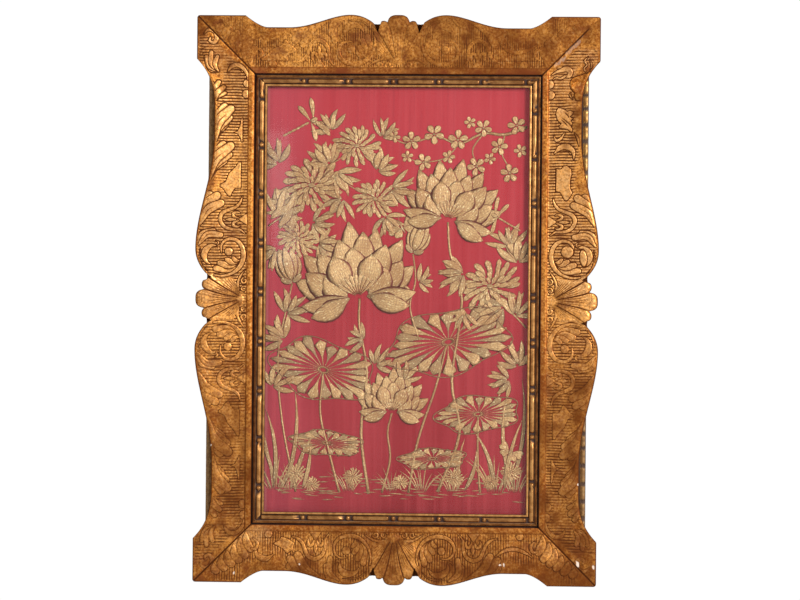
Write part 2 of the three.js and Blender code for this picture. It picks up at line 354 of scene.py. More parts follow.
def carveVolute(field, fat, eye):
    # The big volute beside the fan: a ribbon that winds to its eye, a leaf in its bend and a crescent above.
    paintBand(field, [(42, 67), (51, 75.5), (63, 79), (76, 78.5)], [0.5, 1.1, 1.1, 0.5])
    paintFingers(field, (82, 81), [(101, 71, 4.2), (102, 60, 4.6), (96, 49, 4.4)], bow=0.24)
    paintBand(field, [(52, 62), (57, 69), (66, 72), (75, 69), (80.5, 62), (80, 54)], [0.7, 3.0, 5.0, 5.2, 3.4, 0.9])
    paintBand(field, [(80, 54), (85, 52), (88, 56)], [0.8, 1.7, 0.7])
    band = [(36, 57), (34.5, 47), (37.5, 34), (46.5, 21.5), (60, 15), (75, 15.5), (86, 22), (90.5, 32), (88, 42),
            (80, 47.5), (70, 47)]
    paintBand(field, band, [fat * half for half in (1.2, 1.6, 2.0, 2.5, 2.9, 3.0, 2.7, 2.3, 2.0, 1.6, 0.9)])
    paintDisc(field, (70 + 0.9 * (eye - 5), 35.5 + 0.7 * (eye - 5)), (eye, eye), dome=0.5)
    if eye > 8:
        paintDisc(field, (65, 62.5), (13, 5.6), turn=-0.1)
    paintFingers(field, (58, 21), [(46, 55, 4.6), (54, 49, 4.4), (59, 39, 3.8), (62, 30, 3.0)], bow=0.2)
    paintBand(field, [(3, 17.5), (12, 21.5), (24, 22.5), (34, 19), (44, 12)], [0.8, 1.9, 2.3, 1.9, 0.8])
    for centre, radius, start in [((15, 13.5), 5.6, 200), ((27.5, 13), 4.8, 20)]:
        turns = [(start + step, radius * (1 - step / 620)) for step in range(0, 361, 60)]
        paintBand(field, spiral(centre, turns), [1.4, 1.7, 1.6, 1.2])


def carveBracket(field, edge, width):
    # The bell of scrolls beside the volute, and the acanthus leaf that turns over the shoulder.
    reach = edgeReachAt(edge, 116) + width
    paintFingers(field, (112, reach - 2), [(146, reach - 10, 5.4), (156, reach - 17, 5.8), (155, reach - 28, 6.0),
                                           (144, reach - 34, 5.6)])
    outer = [(98, 12.5), (104, 21), (104.5, 33), (109, 44), (119, 49.5), (129, 46), (134, 36), (138, 26), (145, 19.5),
             (154, 16.5)]
    paintBand(field, outer, [1.0, 2.4, 2.8, 3.2, 3.5, 3.2, 2.8, 2.6, 1.0])
    paintBand(field, [(119, 26), (119, 20), (119, 11)], [1.4, 3.2, 8.5])
    for way in (-1, 1):
        paintBand(field, [(119 + way * at, out) for at, out in ((2, 22), (4.5, 29), (9, 30), (11, 24), (9.5, 20))],
                  [1.2, 2.4, 2.6, 2.2, 1.0])
    paintBand(field, [(119, 42), (119, 35), (119, 27)], [0.7, 3.4, 1.6])
    paintCut(field, [(107, 22), (107.5, 33), (112, 42), (119, 46)], 0.7, 0.5)


# each style is one of the carver's versions: its volute's fatness and eye, and the outline of its reserve
volutes = {"notched": (1.35, 9.4), "winged": (1.1, 6.5), "peaked": (1.35, 6.4), "plain": (1.2, 6.0)}
reserves = {
    "notched": [(151, 38), (157, 43), (163, 46), (170, 42.5), (182, 42), (191, 44), (199, 43.5), (204, 37),
                (203, 31), (199, 28), (200, 20.5), (165, 20.5), (163, 28), (157, 31), (152, 34)],
    "winged": [(148, 41), (154, 37.5), (160, 42.5), (166.5, 35), (182, 28), (173, 22.5), (169, 16.5), (159, 20),
               (149, 26), (151, 33)],
    "peaked": [(154, 36), (159, 41), (164.5, 44), (168, 49.5), (171.5, 49.5), (175.5, 41.5), (187, 37), (193, 32),
               (199, 26), (206, 22.5), (206, 18.5), (166, 18.5), (166, 27), (160, 31), (154.5, 33)],
}


def carveSideLeaves(field, style):
    # What lies between the reserve and the corner block on a long rail.
    if style == "peaked":
        paintFingers(field, (179, 65), [(224, 56, 4.8), (232, 46, 6.0), (206, 44, 5.0), (217, 37, 6.0), (230, 35, 6.8)])
        paintFingers(field, (237, 57), [(280, 52, 4.6), (289, 44, 5.6), (261, 43, 4.6), (272, 37, 5.6), (285, 35, 6.4)])
        paintPatch(field, [(236, 19), (243, 21.5), (248, 25), (250, 31), (252.5, 25), (259, 21.5), (271, 19.5),
                           (272, 17), (236, 17)])
    else:
        paintBand(field, [(213, 47), (224, 46), (231, 38), (230, 27), (221, 18)], [1.0, 3.4, 5.0, 4.2, 1.0])
        paintCut(field, [(216, 44), (224, 38), (225, 28)], 0.9)
        paintBand(field, [(252, 33), (244, 28), (240.5, 21), (247, 17)], [1.0, 2.2, 2.6, 1.0])
        paintPatch(field, [(252, 44), (256.5, 37), (258, 31), (258.5, 25.5), (262, 24), (265.5, 28), (268, 24), (273, 21),
                           (280, 19.5), (286, 20.5), (290, 24), (289, 29), (287, 33), (284, 36.5), (285.5, 41),
                           (283, 46), (278, 44), (276, 41), (273, 46), (270, 42), (266, 45), (261, 42.5), (257, 45)],
                   lift=1.5)
        for vein in ([(256, 46), (263, 41.5), (270, 34), (275.5, 27)], [(261, 38), (267, 32.5), (272, 27.5)],
                     [(273, 40), (278, 37), (282, 33)]):
            paintCut(field, vein, 1.2, 0.7)
        paintBand(field, [(232, 55), (243, 53), (251, 48)], [0.8, 2.4, 0.8])


def carveCorner(field, style):
    # Bosses and a hooked scroll by the mitre, a leaf at the dip, and a curl on the corner block.
    paintDisc(field, (308.5, 12.5), (6.8, 6.4))
    paintDisc(field, (324.5, 11.5), (6.6, 5.8))
    if style == "peaked":
        paintBand(field, [(330, 10), (340, 12), (348, 17.5), (352.5, 25.5), (350, 34), (342, 39.5)],
                  [1.0, 2.4, 3.2, 3.8, 3.4, 1.0])
        paintCut(field, [(340, 18), (346, 23.5), (346, 31)], 0.9)
        paintFingers(field, (296, 58), [(322, 61, 3.4), (326, 53, 3.8), (309, 44, 3.2), (318, 46, 3.8)])
        paintBand(field, [(397, 76), (403.5, 68), (401, 59.5), (392, 56.5), (385, 61), (387, 67.5), (392, 66)],
                  [0.8, 2.4, 3.4, 3.8, 3.4, 2.6, 1.6])
        paintFingers(field, (342, 53), [(353, 70, 3.2), (363, 72, 3.4), (370, 65, 3.4), (364, 56, 3.2)], bow=0.2)
    else:
        paintBand(field, [(337, 33), (337.5, 39.5), (344, 41), (348, 35.5), (346, 28.5), (343, 20), (338, 12.5)],
                  [2.2, 3.8, 4.6, 4.6, 3.0, 2.0, 0.9])
        paintBand(field, [(337, 33), (333.5, 27), (334.5, 20), (331, 14.5)], [2.2, 2.0, 1.6, 0.8])
        paintPatch(field, [(299, 70), (300, 50), (306, 46.5), (311, 48), (317, 43), (323, 40.5), (329, 41), (334, 44),
                           (337, 50), (339, 58), (345, 76)], lift=0.3)
        paintBand(field, [(302, 45), (308, 41), (312, 42)], [0.7, 1.6, 0.7])
        paintBand(field, [(341, 66), (348, 62), (353, 66), (360, 63), (366, 68)], [0.8, 1.6, 1.4, 1.8, 0.7])
        paintBand(field, [(346, 71), (353, 73), (361, 70)], [0.7, 1.5, 0.7])
    for at, out in ((359, 77), (366, 79), (373, 80), (380, 80)):
        paintCut(field, [(at, out), (at + 3, out - 3), (at + 4, out - 7)], 0.8, 0.6)


def carveMitreLeaf(field, halfOuter):
    # On the short rails a long acanthus leaf lies along the mitre.
    base = halfOuter - 82
    for step, tip in enumerate([(46, 69), (34, 65), (23, 59), (13, 53), (4, 46), (-4, 36)]):
        root = (base + 50 - 9.5 * step, 60 - 9.5 * step)
        paintFingers(field, root, [(base + tip[0], tip[1], 5.6)], bow=-0.12)
    paintBand(field, [(base - 8, 20), (base - 15, 27), (base - 12, 36), (base - 5, 35)], [0.8, 2.4, 2.8, 1.4])


def carvedField(edge, style, s, u, width, half, seed):
    # Heights that the carver's tools leave, at places along and out: lifts, cuts and the hatched ground.
    wobble = railForm["handWobble"]
    field = {
        "s": np.abs(s) + wobble * softNoise(s, u, 38, seed),
        "u": u + 0.6 * wobble * softNoise(s, u, 31, seed + 1),
        "lift": np.zeros(s.shape), "cut": np.zeros(s.shape), "ground": np.ones(s.shape),
    }
    carveVolute(field, *volutes[style])
    carveBracket(field, edge, width)
    if style in reserves:
        paintPatch(field, reserves[style])
    else:
        paintBand(field, [(152, 44), (165, 35), (180, 32), (195, 36), (208, 44)], [0.9, 2.8, 3.3, 2.8, 0.9])
    if edge is topEdge:
        if style == "winged":
            paintBand(field, [(181, 44), (192, 50), (204, 46), (210, 37)], [1.0, 4.4, 5.0, 1.2])
        carveMitreLeaf(field, half)
        paintDisc(field, (189, 13.5), (6.2, 5.8))
    else:
        carveSideLeaves(field, style)
        carveCorner(field, style)
    carveShell(field, railForm["shellFoot"], edgeReachAt(edge, 0) + width - railForm["shellFoot"])
    return field


def railSection(edge, s, u, width):
    # The section: a raised inner border, then a hollow that rises outward to a rolled edge.
    # A dome swells under the shell, and a lower one under each shoulder.
    f = railForm
    field = np.clip((u - f["fieldStart"]) / (width - f["fieldStart"]), 0, 1)
    rolled = np.clip((field - f["rollStart"]) / (1 - f["rollStart"]), 0, 1)
    scoop = f["fieldLow"] + f["fieldRise"] * field ** f["scoopPower"] - f["edgeRoll"] * rolled ** 2
    onBorder = 1 - smoothStep(f["borderWidth"] - 0.4, f["fieldStart"] - 0.6, u)
    eased = f["borderRound"] * np.clip(1 - u / f["borderSlope"], 0, 1) ** 1.3
    base = scoop * (1 - onBorder) + (f["borderHeight"] - eased) * onBorder
    base -= f["grooveDeep"] * np.exp(-((u - f["grooveAt"]) / f["grooveWide"]) ** 2)
    fadeOut = 1 - field ** 8
    fan = np.degrees(np.arctan2(np.abs(s), u - f["domeFoot"]))
    fromFoot = np.hypot(s, u - f["domeFoot"])
    base += f["domeRise"] * (1 - smoothStep(*f["domeAngles"], fan)) * smoothStep(4, 30, fromFoot) * fadeOut
    toShoulder = np.hypot(np.abs(s) - edge["peakAt"], u - f["shoulderOut"])
    return base + f["shoulderRise"] * (1 - smoothStep(0, f["shoulderWide"], toShoulder)) * fadeOut


def hatching(side, s, u, halfOuter, toMitre, seed):
    # The V tool's lines over the ground: how deep each place lies in a groove, and where they show at all.
    c = carving
    swing = s + 0.5 * softNoise(s, u, 14, seed + 2)
    line = np.abs((swing / c["hatchPitch"][side]) % 1 - 0.5) * 2
    groove = smoothStep(1 - c["hatchShare"], 0.95, line)
    end = halfOuter - railForm["hatchEnd"][side]
    shown = smoothStep(5, 11, toMitre) * (1 - smoothStep(end - 4, end + 6, np.abs(s)))
    # towards the outer edge of the dip the lines are rubbed away
    rubbed = smoothStep(46, 58, u + 6 * softNoise(s, u, 22, seed + 8)) * smoothStep(150, 172, np.abs(s))
    rubbed = rubbed * (1 - 0.8 * smoothStep(halfOuter - 78, halfOuter - 66, np.abs(s)))
    return groove, shown * (1 - 0.85 * rubbed)


def railSurface(side, edge, styles, halfInner, seed):
    # Grid of the rail's front. Straight rulings run from the inner edge to the wavy outer edge.
    f, c = railForm, carving
    halfOuter = halfInner + railWidth
    count = int(2 * halfOuter / f["stations"]) // 2 * 2 + 1
    place = np.linspace(-halfOuter, halfOuter, count)[:, None]
    plainWidth = railWidth - cornerReach
    width = plainWidth + edgeReach(edge, place)
    u = np.linspace(0, 1, f["columns"])[None, :] * width
    s = place / halfOuter * (halfInner - mitreGap + railWidth * u / width)
    base = railSection(edge, s, u, width)
    lift, cut, ground = np.zeros(s.shape), np.zeros(s.shape), np.zeros(s.shape)
    for chosen, style in ((s < 0, styles[0]), (s >= 0, styles[1])):
        cutting = carvedField(edge, style, s[chosen], u[chosen], plainWidth, halfOuter, seed)
        lift[chosen], cut[chosen], ground[chosen] = (cutting[key] for key in ("lift", "cut", "ground"))
    inField = smoothStep(9.6, 10.6, u) * (1 - smoothStep(-4.2, -2.2, u - width))
    toMitre = (halfInner + u - np.abs(s)) / math.sqrt(2)
    groove, shown = hatching(side, s, u, halfOuter, toMitre, seed)
    depthNoise = 0.72 + 0.45 * softNoise(s, u, 26, seed + 3) + 0.3 * softNoise(s * 1.7, u, 9, seed + 12)
    hatch = groove * np.clip(depthNoise, 0.15, 1.2) * shown
    underReserve = smoothStep(150, 156, np.abs(s)) * (1 - smoothStep(205, 214, np.abs(s)))
    ledge = 0.7 * np.exp(-((u - c["ledgeOut"]) / c["ledgeWide"]) ** 2) * underReserve
    half = smoothStep(-40, 40, s)
    relief, kept = ((1 - half) * f[key][side][0] + half * f[key][side][1] for key in ("reliefKept", "hatchKept"))
    # Highs: raised motifs and hatch ridges are painted pale, as rubbed wear and painted highlight.
    high = smoothStep(0.1, 0.36, lift) * (1 - np.clip(1.3 * cut, 0, 1)) * inField * relief
    high = np.maximum(high, c["ridgePale"] * (1 - groove) * shown * ground * inField * kept)
    lift, cut = lift * relief, cut * relief
    groundCut = ground * inField * (c["groundSunk"] + c["hatchCut"] * kept * hatch + c["ledgeCut"] * ledge)
    height = base + inField * (lift - cut) - groundCut
    # The joint at the upper right corner is filled towards its outer end.
    joint = np.exp(-(toMitre / c["mitreWidth"]) ** 2)
    filledEnd = s * {"top": 1, "right": -1}.get(side, 0)
    joint = joint * (1 - 0.85 * smoothStep(halfOuter - 24, halfOuter - 14, filledEnd))
    height = height - c["mitreCut"] * joint
    # painted shadow: the notch floor is made flat and fully dark
    floor = notchFloor(edge, s, u - plainWidth)
    height = height * (1 - floor) + 1.5 * floor
    # Grime and painted shade darken the cuts, the hatching and the border's groove; grime darkens the joints. Painted
    # shadow fills the notch floors and painted shade the outer rim.
    marks = 0.85 * cut / c["outlineCut"] + ground * (0.08 + kept ** 0.5 * hatch ** 1.5 + 0.4 * ledge)
    grimeAndShade = np.clip(marks * inField, 0, 1)
    grimeAndShade = np.maximum(grimeAndShade, 0.3 * np.exp(-((u - f["grooveAt"]) / 0.7) ** 2))
    grimeAndShade = np.maximum(np.maximum(grimeAndShade, joint), floor)
    # painted shade along the outer rim
    grimeAndShade = np.maximum(grimeAndShade, 0.75 * smoothStep(-1.9, -0.3, u - width))
    return s, u, width, height, grimeAndShade, high


def placed(points, side, halfX, halfZ):
    # Moves a strip whose inner edge lies on the X axis to one side of an opening.
    x, y, z = points.T
    return np.stack({
        "top": (x, y, z + halfZ), "bottom": (-x, y, -z - halfZ),
        "right": (z + halfX, y, -x), "left": (-z - halfX, y, x),
    }[side], 1)


def alongSide(side, halves):
    # Half the length of an opening's edge on one side.
    return halves[0] if side in ("top", "bottom") else halves[1]


def stripMesh(name, side, halves, grid, seat, values, sharpAngle=60):
    # A strip from its ruled front grid (along, out, depth in front of the wall), a flat back, and walls.
    # Each value comes with what it is at the walls and at the back.
    lip = 0.6        # the finish stops this far in front of the back face

    def joined(front, wall=None, back=None):
        # Across the strip: the front, then both corners of the inner wall and both of the outer one.
        outer, inner = front[:, -1:], front[:, :1]
        ends = [(inner, wall), (inner, back), (outer, back), (outer, wall)]
        return np.concatenate([front[:, ::-1]] + [edge if value is None else np.full_like(edge, value)
                                                  for edge, value in ends], 1)

    s, u, depth = grid
    rows, count = len(s), s.shape[1] + 4
    points = np.stack([joined(s), -joined(depth, seat + lip, seat), joined(u)], -1).reshape(-1, 3)
    caps = [np.arange(count)[::-1], np.arange(count) + (rows - 1) * count]
    finish = {key: joined(value, *ends).ravel() for key, (value, *ends) in values.items()}
    return makeObject(name, placed(points, side, *halves), ringFaces(rows, count), caps, values=finish,
                      sharpAngle=sharpAngle)


def roundedPlan(s, u, halfOuter):
    # The outer corners of the blocks are a little rounded in plan.
    r = railForm["cornerRadius"]
    ds, du = np.abs(s) - (halfOuter - r), u - (railWidth - r)
    over = np.hypot(np.clip(ds, 0, None), np.clip(du, 0, None))
    squeeze = np.where((ds > 0) & (du > 0) & (over > r), r / np.maximum(over, 1e-6), 1)
    return (np.where(squeeze < 1, np.sign(s) * (halfOuter - r + ds * squeeze), s),
            np.where(squeeze < 1, railWidth - r + du * squeeze, u))


def tarnishAndPaintedLight(wearAndLight, s, u, width, high, grimeAndShade, seed):
    # Brown patina: broad tones along the inner and the outer half, clouds and single spots; painted shade darkens the
    # outer rim.
    # A spot whose strength is below 0 clears the patina and paints a highlight instead.
    inner, outer = (np.interp(s, *zip(*wearAndLight[key])) for key in ("innerTarnish", "outerTarnish"))
    tarnish = inner + (outer - inner) * smoothStep(36, 60, u)
    patinaAndRimShade = np.clip(0.2 * softNoise(s, u, 33, seed + 4) + 0.25 * softNoise(s, u, 11, seed + 5) + tarnish, 0, 1)
    for at, out, radius, strength in wearAndLight["spots"]:
        near = np.exp(-((s - at) ** 2 + (u - out) ** 2) / radius ** 2)
        near = near * strength * (0.95 + 0.4 * softNoise(s, u, 7, seed + 6))
        patinaAndRimShade = np.maximum(patinaAndRimShade, near) if strength > 0 else patinaAndRimShade * (1 + np.clip(near, -1, 0))
        high = np.maximum(high, -1.4 * near * (1 - grimeAndShade))
    # painted shade: the outer few millimetres are darkened
    rim = smoothStep(-3.4, -0.4, u - width - 0.6 * softNoise(s, u, 6, seed + 10))
    return np.clip(np.maximum(patinaAndRimShade, 0.95 * rim), 0, 1), high


def chipped(wearAndLight, s, u, width, seed):
    # Spots where the gesso shows white. None runs down the outer wall.
    chips = np.zeros(s.shape)
    rough = 0.5 * softNoise(s, u, 3.1, seed + 7)
    for at, out, long, broad, turn, strength in wearAndLight["chips"]:
        c, d = math.cos(math.radians(turn)), math.sin(math.radians(turn))
        near = np.hypot(((s - at) * c + (u - out) * d) / long, ((u - out) * c - (s - at) * d) / broad) + rough
        chips = np.maximum(chips, strength * (1 - smoothStep(0.75, 1.0, near)))
    return chips * (1 - smoothStep(-0.9, -0.1, u - width))


def makeRail(side, edge, styles, seed):
    halfInner = alongSide(side, openingHalves)
    s, u, width, height, grimeAndShade, high = railSurface(side, edge, styles, halfInner, seed)
    wearAndLight = railWearAndLight[side]
    patinaAndRimShade, high = tarnishAndPaintedLight(wearAndLight, s, u, width, high, grimeAndShade, seed)
    chips = chipped(wearAndLight, s, u, width, seed)
    red = wearAndLight["red"] * (1 - smoothStep(6.5, 10, u)) * (0.7 + 0.6 * softNoise(s, u, 17, seed + 9))
    red += 0.6 * np.exp(-((u - 9) / 0.9) ** 2) + 0.5 * np.exp(-(u / 1.0) ** 2)
    # rubbed wear and painted highlight on the highs, paler on some sides than others
    high = high * wearAndLight["paleHighlight"] * (1 - 0.65 * patinaAndRimShade)
    values = {
        "red": (np.clip(red, 0, 1), 0.6, 0.0), "grimeAndShade": (grimeAndShade, 0.55, 1.0), "high": (high, 0.0, 0.0),
        "patinaAndRimShade": (patinaAndRimShade, 0.8, 1.0), "chips": (chips, 0.0, 0.0), "bare": (np.zeros(s.shape), 0.0, 1.0),
    }
    grid = (*roundedPlan(s, u, halfInner + railWidth), railSeat + height - 0.8 * chips)
    return stripMesh(f"railCarved{side.capitalize()}", side, openingHalves, grid, railSeat, values)


# Wear of each rail, with its painted highlights. Places along it run from negative to positive: left to right on the
# top rail, right to left on the bottom one, top to bottom on the right one, bottom to top on the left one.
# red: bole on the border. paleHighlight: how pale the highs are painted, for rubbed wear and painted highlight.
# Tarnish: (along, share of brown).
# chips: (along, out, half length, half breadth, turn, strength). spots: (along, out, radius, strength).
railWearAndLight = {
    "top": {
        "red": 0.95,
        "innerTarnish": [(-300, 0.25), (-150, 0.15), (40, 0.65), (190, 0.8), (240, 0.5)],
        "outerTarnish": [(-280, 0.35), (-120, 0.2), (20, 0.8), (300, 0.75)],
        "paleHighlight": 0.4,
        "chips": [],
        "spots": [(-284, 80, 16, 1.1), (-264, 72, 12, 0.9), (-264, 54, 9, 0.8), (-238, 47, 10, 0.85), (-237, 35, 9, 0.8),
                 (-206, 66, 14, 0.7), (44, 60, 20, 0.4), (88, 42, 24, 0.7), (130, 42, 26, 0.8), (172, 38, 18, 0.85),
                 (213, 46, 9, 0.85), (240, 76, 12, 0.6), (284, 70, 10, 0.8), (262, 60, 14, 0.6)],
    },
    "right": {
        "red": 0.42,
        "innerTarnish": [(-420, 0.8), (-350, 0.05), (30, 0.0), (100, 0.35), (180, 0.75), (350, 0.7), (420, 1.0)],
        "outerTarnish": [(-420, 0.85), (-350, 0.1), (30, 0.0), (90, 0.5), (170, 0.95), (420, 0.8)],
        "paleHighlight": 0.95,
        "chips": [(273, 58, 1.6, 1.1, 0, 1.0), (-360, 26, 11, 3.2, 135, 0.25), (-381, 46, 18, 3.4, 135, 0.2),
                  (397, 82, 3, 1.6, 0, 1.0), (391.5, 58.5, 4.4, 2.3, 25, 1.0)],
        "spots": [(-246, 52, 12, 0.9), (-262, 55, 12, 0.9), (-282, 55, 14, 0.95), (-303, 57, 12, 0.9), (-232, 34, 8, 0.6),
                 (-410, 68, 20, 0.85), (-392, 66, 13, 0.7), (-352, 38, 7, 0.7), (-360, 30, 6, 0.7), (280, 50, 24, 0.5),
                 (405, 80, 20, 0.8), (402, 56, 22, 1.0)],
    },
    "bottom": {
        "red": 0.36,
        "innerTarnish": [(-280, 0.7), (-180, 0.45), (70, 0.65), (120, 0.5), (170, 0.15), (280, 0.65)],
        "outerTarnish": [(-200, 1.1), (-40, 0.65), (60, 0.85), (280, 0.65)],
        "paleHighlight": 0.55,
        "chips": [(-160, 55, 2.2, 1.6, 0, 1.0), (-165, 55.5, 1.4, 2.6, 0, 1.0),
                  (-298, 58, 1.6, 1.4, 0, 1.0), (141, 58, 1.8, 1.4, 0, 1.0), (240, 72, 1.6, 2.4, 0, 1.0)],
        "spots": [(-280, 66, 22, 0.6), (280, 60, 20, 0.5), (120, 60, 16, 0.5), (-120, 62, 14, 0.5), (80, 58, 14, 0.9),
                 (252, 52, 12, 0.8), (222, 14, 14, -1.0), (198, 17, 14, -1.0), (208, 10, 9, -0.9), (240, 30, 10, -0.7),
                 (178, 30, 13, -0.5), (-240, 38, 17, -0.6)],
    },
    "left": {
        "red": 0.16,
        "innerTarnish": [(-420, 0.8), (-200, 0.7), (-60, 0.2), (30, -0.15), (300, -0.1), (420, 0.15)],
        "outerTarnish": [(-420, 0.65), (-320, 0.6), (-160, 0.6), (-50, 0.0), (30, -0.15), (420, 0.1)],
        "paleHighlight": 0.75,
        "chips": [(388, 46, 5, 1.6, 45, 1.0), (-220, 60, 1.6, 1.2, 0, 1.0)],
        "spots": [(404, 82, 14, 1.2), (420, 82, 14, 1.3), (416, 74, 9, 1.0), (366, 80, 12, 0.6), (-60, 66, 20, 0.35),
                 (-408, 74, 20, 0.6), (352, 40, 12, 0.8), (362, 46, 9, 0.6), (318, 44, 9, 0.5)],
    },
}
# each side has its edge and the styles of its two halves, at negative and at positive places
sides = {
    "top": (topEdge, ("peaked", "plain")), "right": (sideEdge, ("notched", "peaked")),
    "bottom": (topEdge, ("plain", "winged")), "left": (sideEdge, ("peaked", "peaked")),
}
rails = [fitted(makeRail(side, edge, styles, 11 + 10 * number), f"rail_{side}")
         for number, (side, (edge, styles)) in enumerate(sides.items())]


# Slips: the narrow mouldings at the glass, each with a strip of barrels and beads.

slipForm = {
    "width": 19.2,
    # the section without its bead strip: out from the sight edge, height above the slip's back
    "outs": [0, 0.5, 1.6, 3.0, 3.5, 4.2, 4.8, 11.8, 12.3, 13.6, 14.0, 15.2, 16.6, 17.1, 19.2],
    "highs": [3.4, 4.6, 4.9, 4.4, 2.4, 1.6, 2.2, 2.2, 2.6, 3.0, 5.4, 6.6, 5.8, 2.6, 2.6],
    "stripMiddle": 8.2, "stripHalf": 3.5, "stripRise": 4.2,
    # painted shade by side: how dark the outer fillet and the bead strip are made
    "filletShade": {"top": 0.3, "right": 0.65, "bottom": 0.3, "left": 0.85},
    "stripShade": {"top": 0.5, "right": 0.1, "bottom": 0.45, "left": 0.0},
    "beadLong": 6.4, "gap": 3.6,
    "beads": {"top": (67.8, -7.3), "bottom": (68.4, 2.0), "left": (73.9, 10.2), "right": (70.2, -6.1)},
}


def slipSurface(side, halfInner, seed):
    # Barrels are half rounds with domed ends; a short bead stands between each two.
    f = slipForm
    pitch, shift = f["beads"][side]
    halfOuter = halfInner + f["width"]
    stations = np.linspace(-halfOuter, halfOuter, int(2 * halfOuter / 0.8) + 1)
    fromBead = (stations - shift + pitch / 2) % pitch - pitch / 2
    keep = (np.abs(fromBead) < 11) | (np.arange(len(stations)) % 10 == 0)
    keep[[0, -1]] = True
    place = stations[keep][:, None]
    outs = np.unique(np.concatenate([f["outs"], np.linspace(4.8, 11.8, 13)]))
    u = np.repeat(outs[None, :], len(place), 0)
    s = place / halfOuter * (halfInner + u - mitreGap)
    rng = np.random.default_rng(seed)
    number = np.round((s - shift) / pitch).astype(int)
    nudge = rng.uniform(-1.2, 1.2, 64)[number % 64]
    along = s - shift - number * pitch - nudge
    half = f["beadLong"] / 2
    across = (u - f["stripMiddle"]) / f["stripHalf"]
    across = np.abs(across) ** 1.5
    bead = np.sqrt(np.clip(1 - (along / half) ** 2 - across ** 2, 0, 1))
    fromEnd = np.clip((np.abs(along) - half - f["gap"]) / 2.6, 0, 1)
    barrel = np.sqrt(np.clip(1 - (1 - fromEnd) ** 2 - across ** 2, 0, 1)) * (np.abs(along) > half + f["gap"])
    base = np.interp(outs, f["outs"], f["highs"])[None, :]
    strip = f["stripRise"] * np.maximum(bead, barrel)
    worn = 0.14 * softNoise(s, u * 2, 9, seed + 1)
    height = base + strip + worn
    # painted shade: dark lines in the grooves, at the sight edge, at the outer edge under the rail, and between the
    # beads
    groove = np.exp(-((u - 4.1) / 0.8) ** 2) + np.exp(-((u - 12.8) / 0.8) ** 2) + smoothStep(16.8, 17.3, u)
    groove += 1 - smoothStep(0.2, 0.7, u)
    inStrip = (u > 4.6) & (u < 12.0)
    low = 0.7 * inStrip * (1 - smoothStep(0.0, 0.4, np.maximum(bead, barrel)))
    grimeAndShade = np.clip(np.maximum(groove, low), 0, 1)
    # painted shade by side on the outer fillet and the bead strip
    sideShade = smoothStep(13.2, 13.8, u) * (1 - smoothStep(16.8, 17.2, u))
    sideShade = np.maximum(sideShade * f["filletShade"][side], inStrip * f["stripShade"][side])
    return s, u, height, grimeAndShade, sideShade


slipSeat = -float(slipHigh[1])
sightHalves = float(slipLow[0]), openingHalves[1] - (openingHalves[0] - float(slipLow[0]))
slips = []
for number, side in enumerate(sides):
    s, u, height, grimeAndShade, sideShade = slipSurface(side, alongSide(side, sightHalves), 71 + number)
    values = {"grimeAndShade": (grimeAndShade, 0.9, 1.0), "sideShade": (sideShade, 0.0, 0.0), "bare": (np.zeros(s.shape), 0.0, 1.0)}
    slip = stripMesh(f"slipBeaded{side.capitalize()}", side, sightHalves, (s, u, slipSeat + height), slipSeat,
                     values, sharpAngle=50)
    slips.append(fitted(slip, f"slip_{side}"))


# Back frame: plain boards whose outer front edge carries a band of small carved blocks.

backForm = {
    "width": 81.0, "bandMiddle": 77.0, "bandHalf": 4.0, "bandLow": 13.4, "bandRise": 3.9,
    "grooveOut": 72.2, "grooveDeep": 3.0,
    "blockLong": (13, 23), "blockGap": (5, 9), "step": 2.4,
}


def blockBand(s, seed):
    # Shares of height along the band: 1 on a block, 0 in the square gap after it.
    rng = np.random.default_rng(seed)
    f = backForm
    ends, at = [], float(s.min()) - 10
    while at < s.max() + 30:
        long = rng.uniform(*f["blockLong"])
        ends.append((at, at + long))
        at += long + rng.uniform(*f["blockGap"])
    high = np.zeros(s.shape)
    for start, stop in ends:
        inBlock = smoothStep(start - 0.6, start + 0.8, s) * (1 - smoothStep(stop - 0.8, stop + 0.6, s))
        waist = 1 - 0.25 * np.exp(-((s - (start + stop) / 2) / 2.0) ** 2)
        high = np.maximum(high, inBlock * waist)
    return high


def backSurface(halfInner, seed):
    f = backForm
    halfOuter = halfInner + f["width"]
    place = np.linspace(-halfOuter, halfOuter, int(2 * halfOuter / f["step"]) + 1)[:, None]
    outs = np.array([0, 30, 60, 71, 71.6, 72.2, 72.8, 73.2, 74, 75, 76, 77, 78, 79, 80, 80.6, 81])
    u = np.repeat(outs[None, :], len(place), 0)
    s = place / halfOuter * (halfInner + u - mitreGap)
    blocks = blockBand(s, seed)
    across = np.clip((u - f["bandMiddle"]) / f["bandHalf"], -1, 1)
    inBand = smoothStep(72.6, 73.4, u)
    depth = 18.0 - 0.02 - f["grooveDeep"] * np.exp(-((u - f["grooveOut"]) / 0.7) ** 2)
    band = f["bandLow"] + f["bandRise"] * np.sqrt(np.clip(1 - 0.9 * across ** 2, 0, 1)) * (0.35 + 0.65 * blocks)
    depth = depth * (1 - inBand) + band * inBand
    gilt = inBand * blocks * (1 - smoothStep(79.4, 80.4, u))
    return s, u, depth, gilt


backHalves = backHalfOuter - backForm["width"], float(boxOf("back_top")[0][2])
backs = []
for number, side in enumerate(sides):
    s, u, depth, gilt = backSurface(alongSide(side, backHalves), 91 + number)
    # on the left the band is painted one dull brown as the shade the rail casts on it; on the right it is duller below
    # the middle
    if side == "left":
        gilt = 0.38 * smoothStep(72.6, 73.4, u) * (0.9 + 0.1 * gilt)
    elif side == "right":
        gilt = gilt * np.interp(s, [0, 160], [0.95, 0.5])
    board = stripMesh(f"backBoard{side.capitalize()}", side, backHalves, (s, u, depth), 0.0,
                      {"gilt": (gilt, 0.0, 0.0)}, sharpAngle=50)
    backs.append(fitted(board, f"back_{side}"))


# Silk ground: a thin stretched sheet with faint ripples.

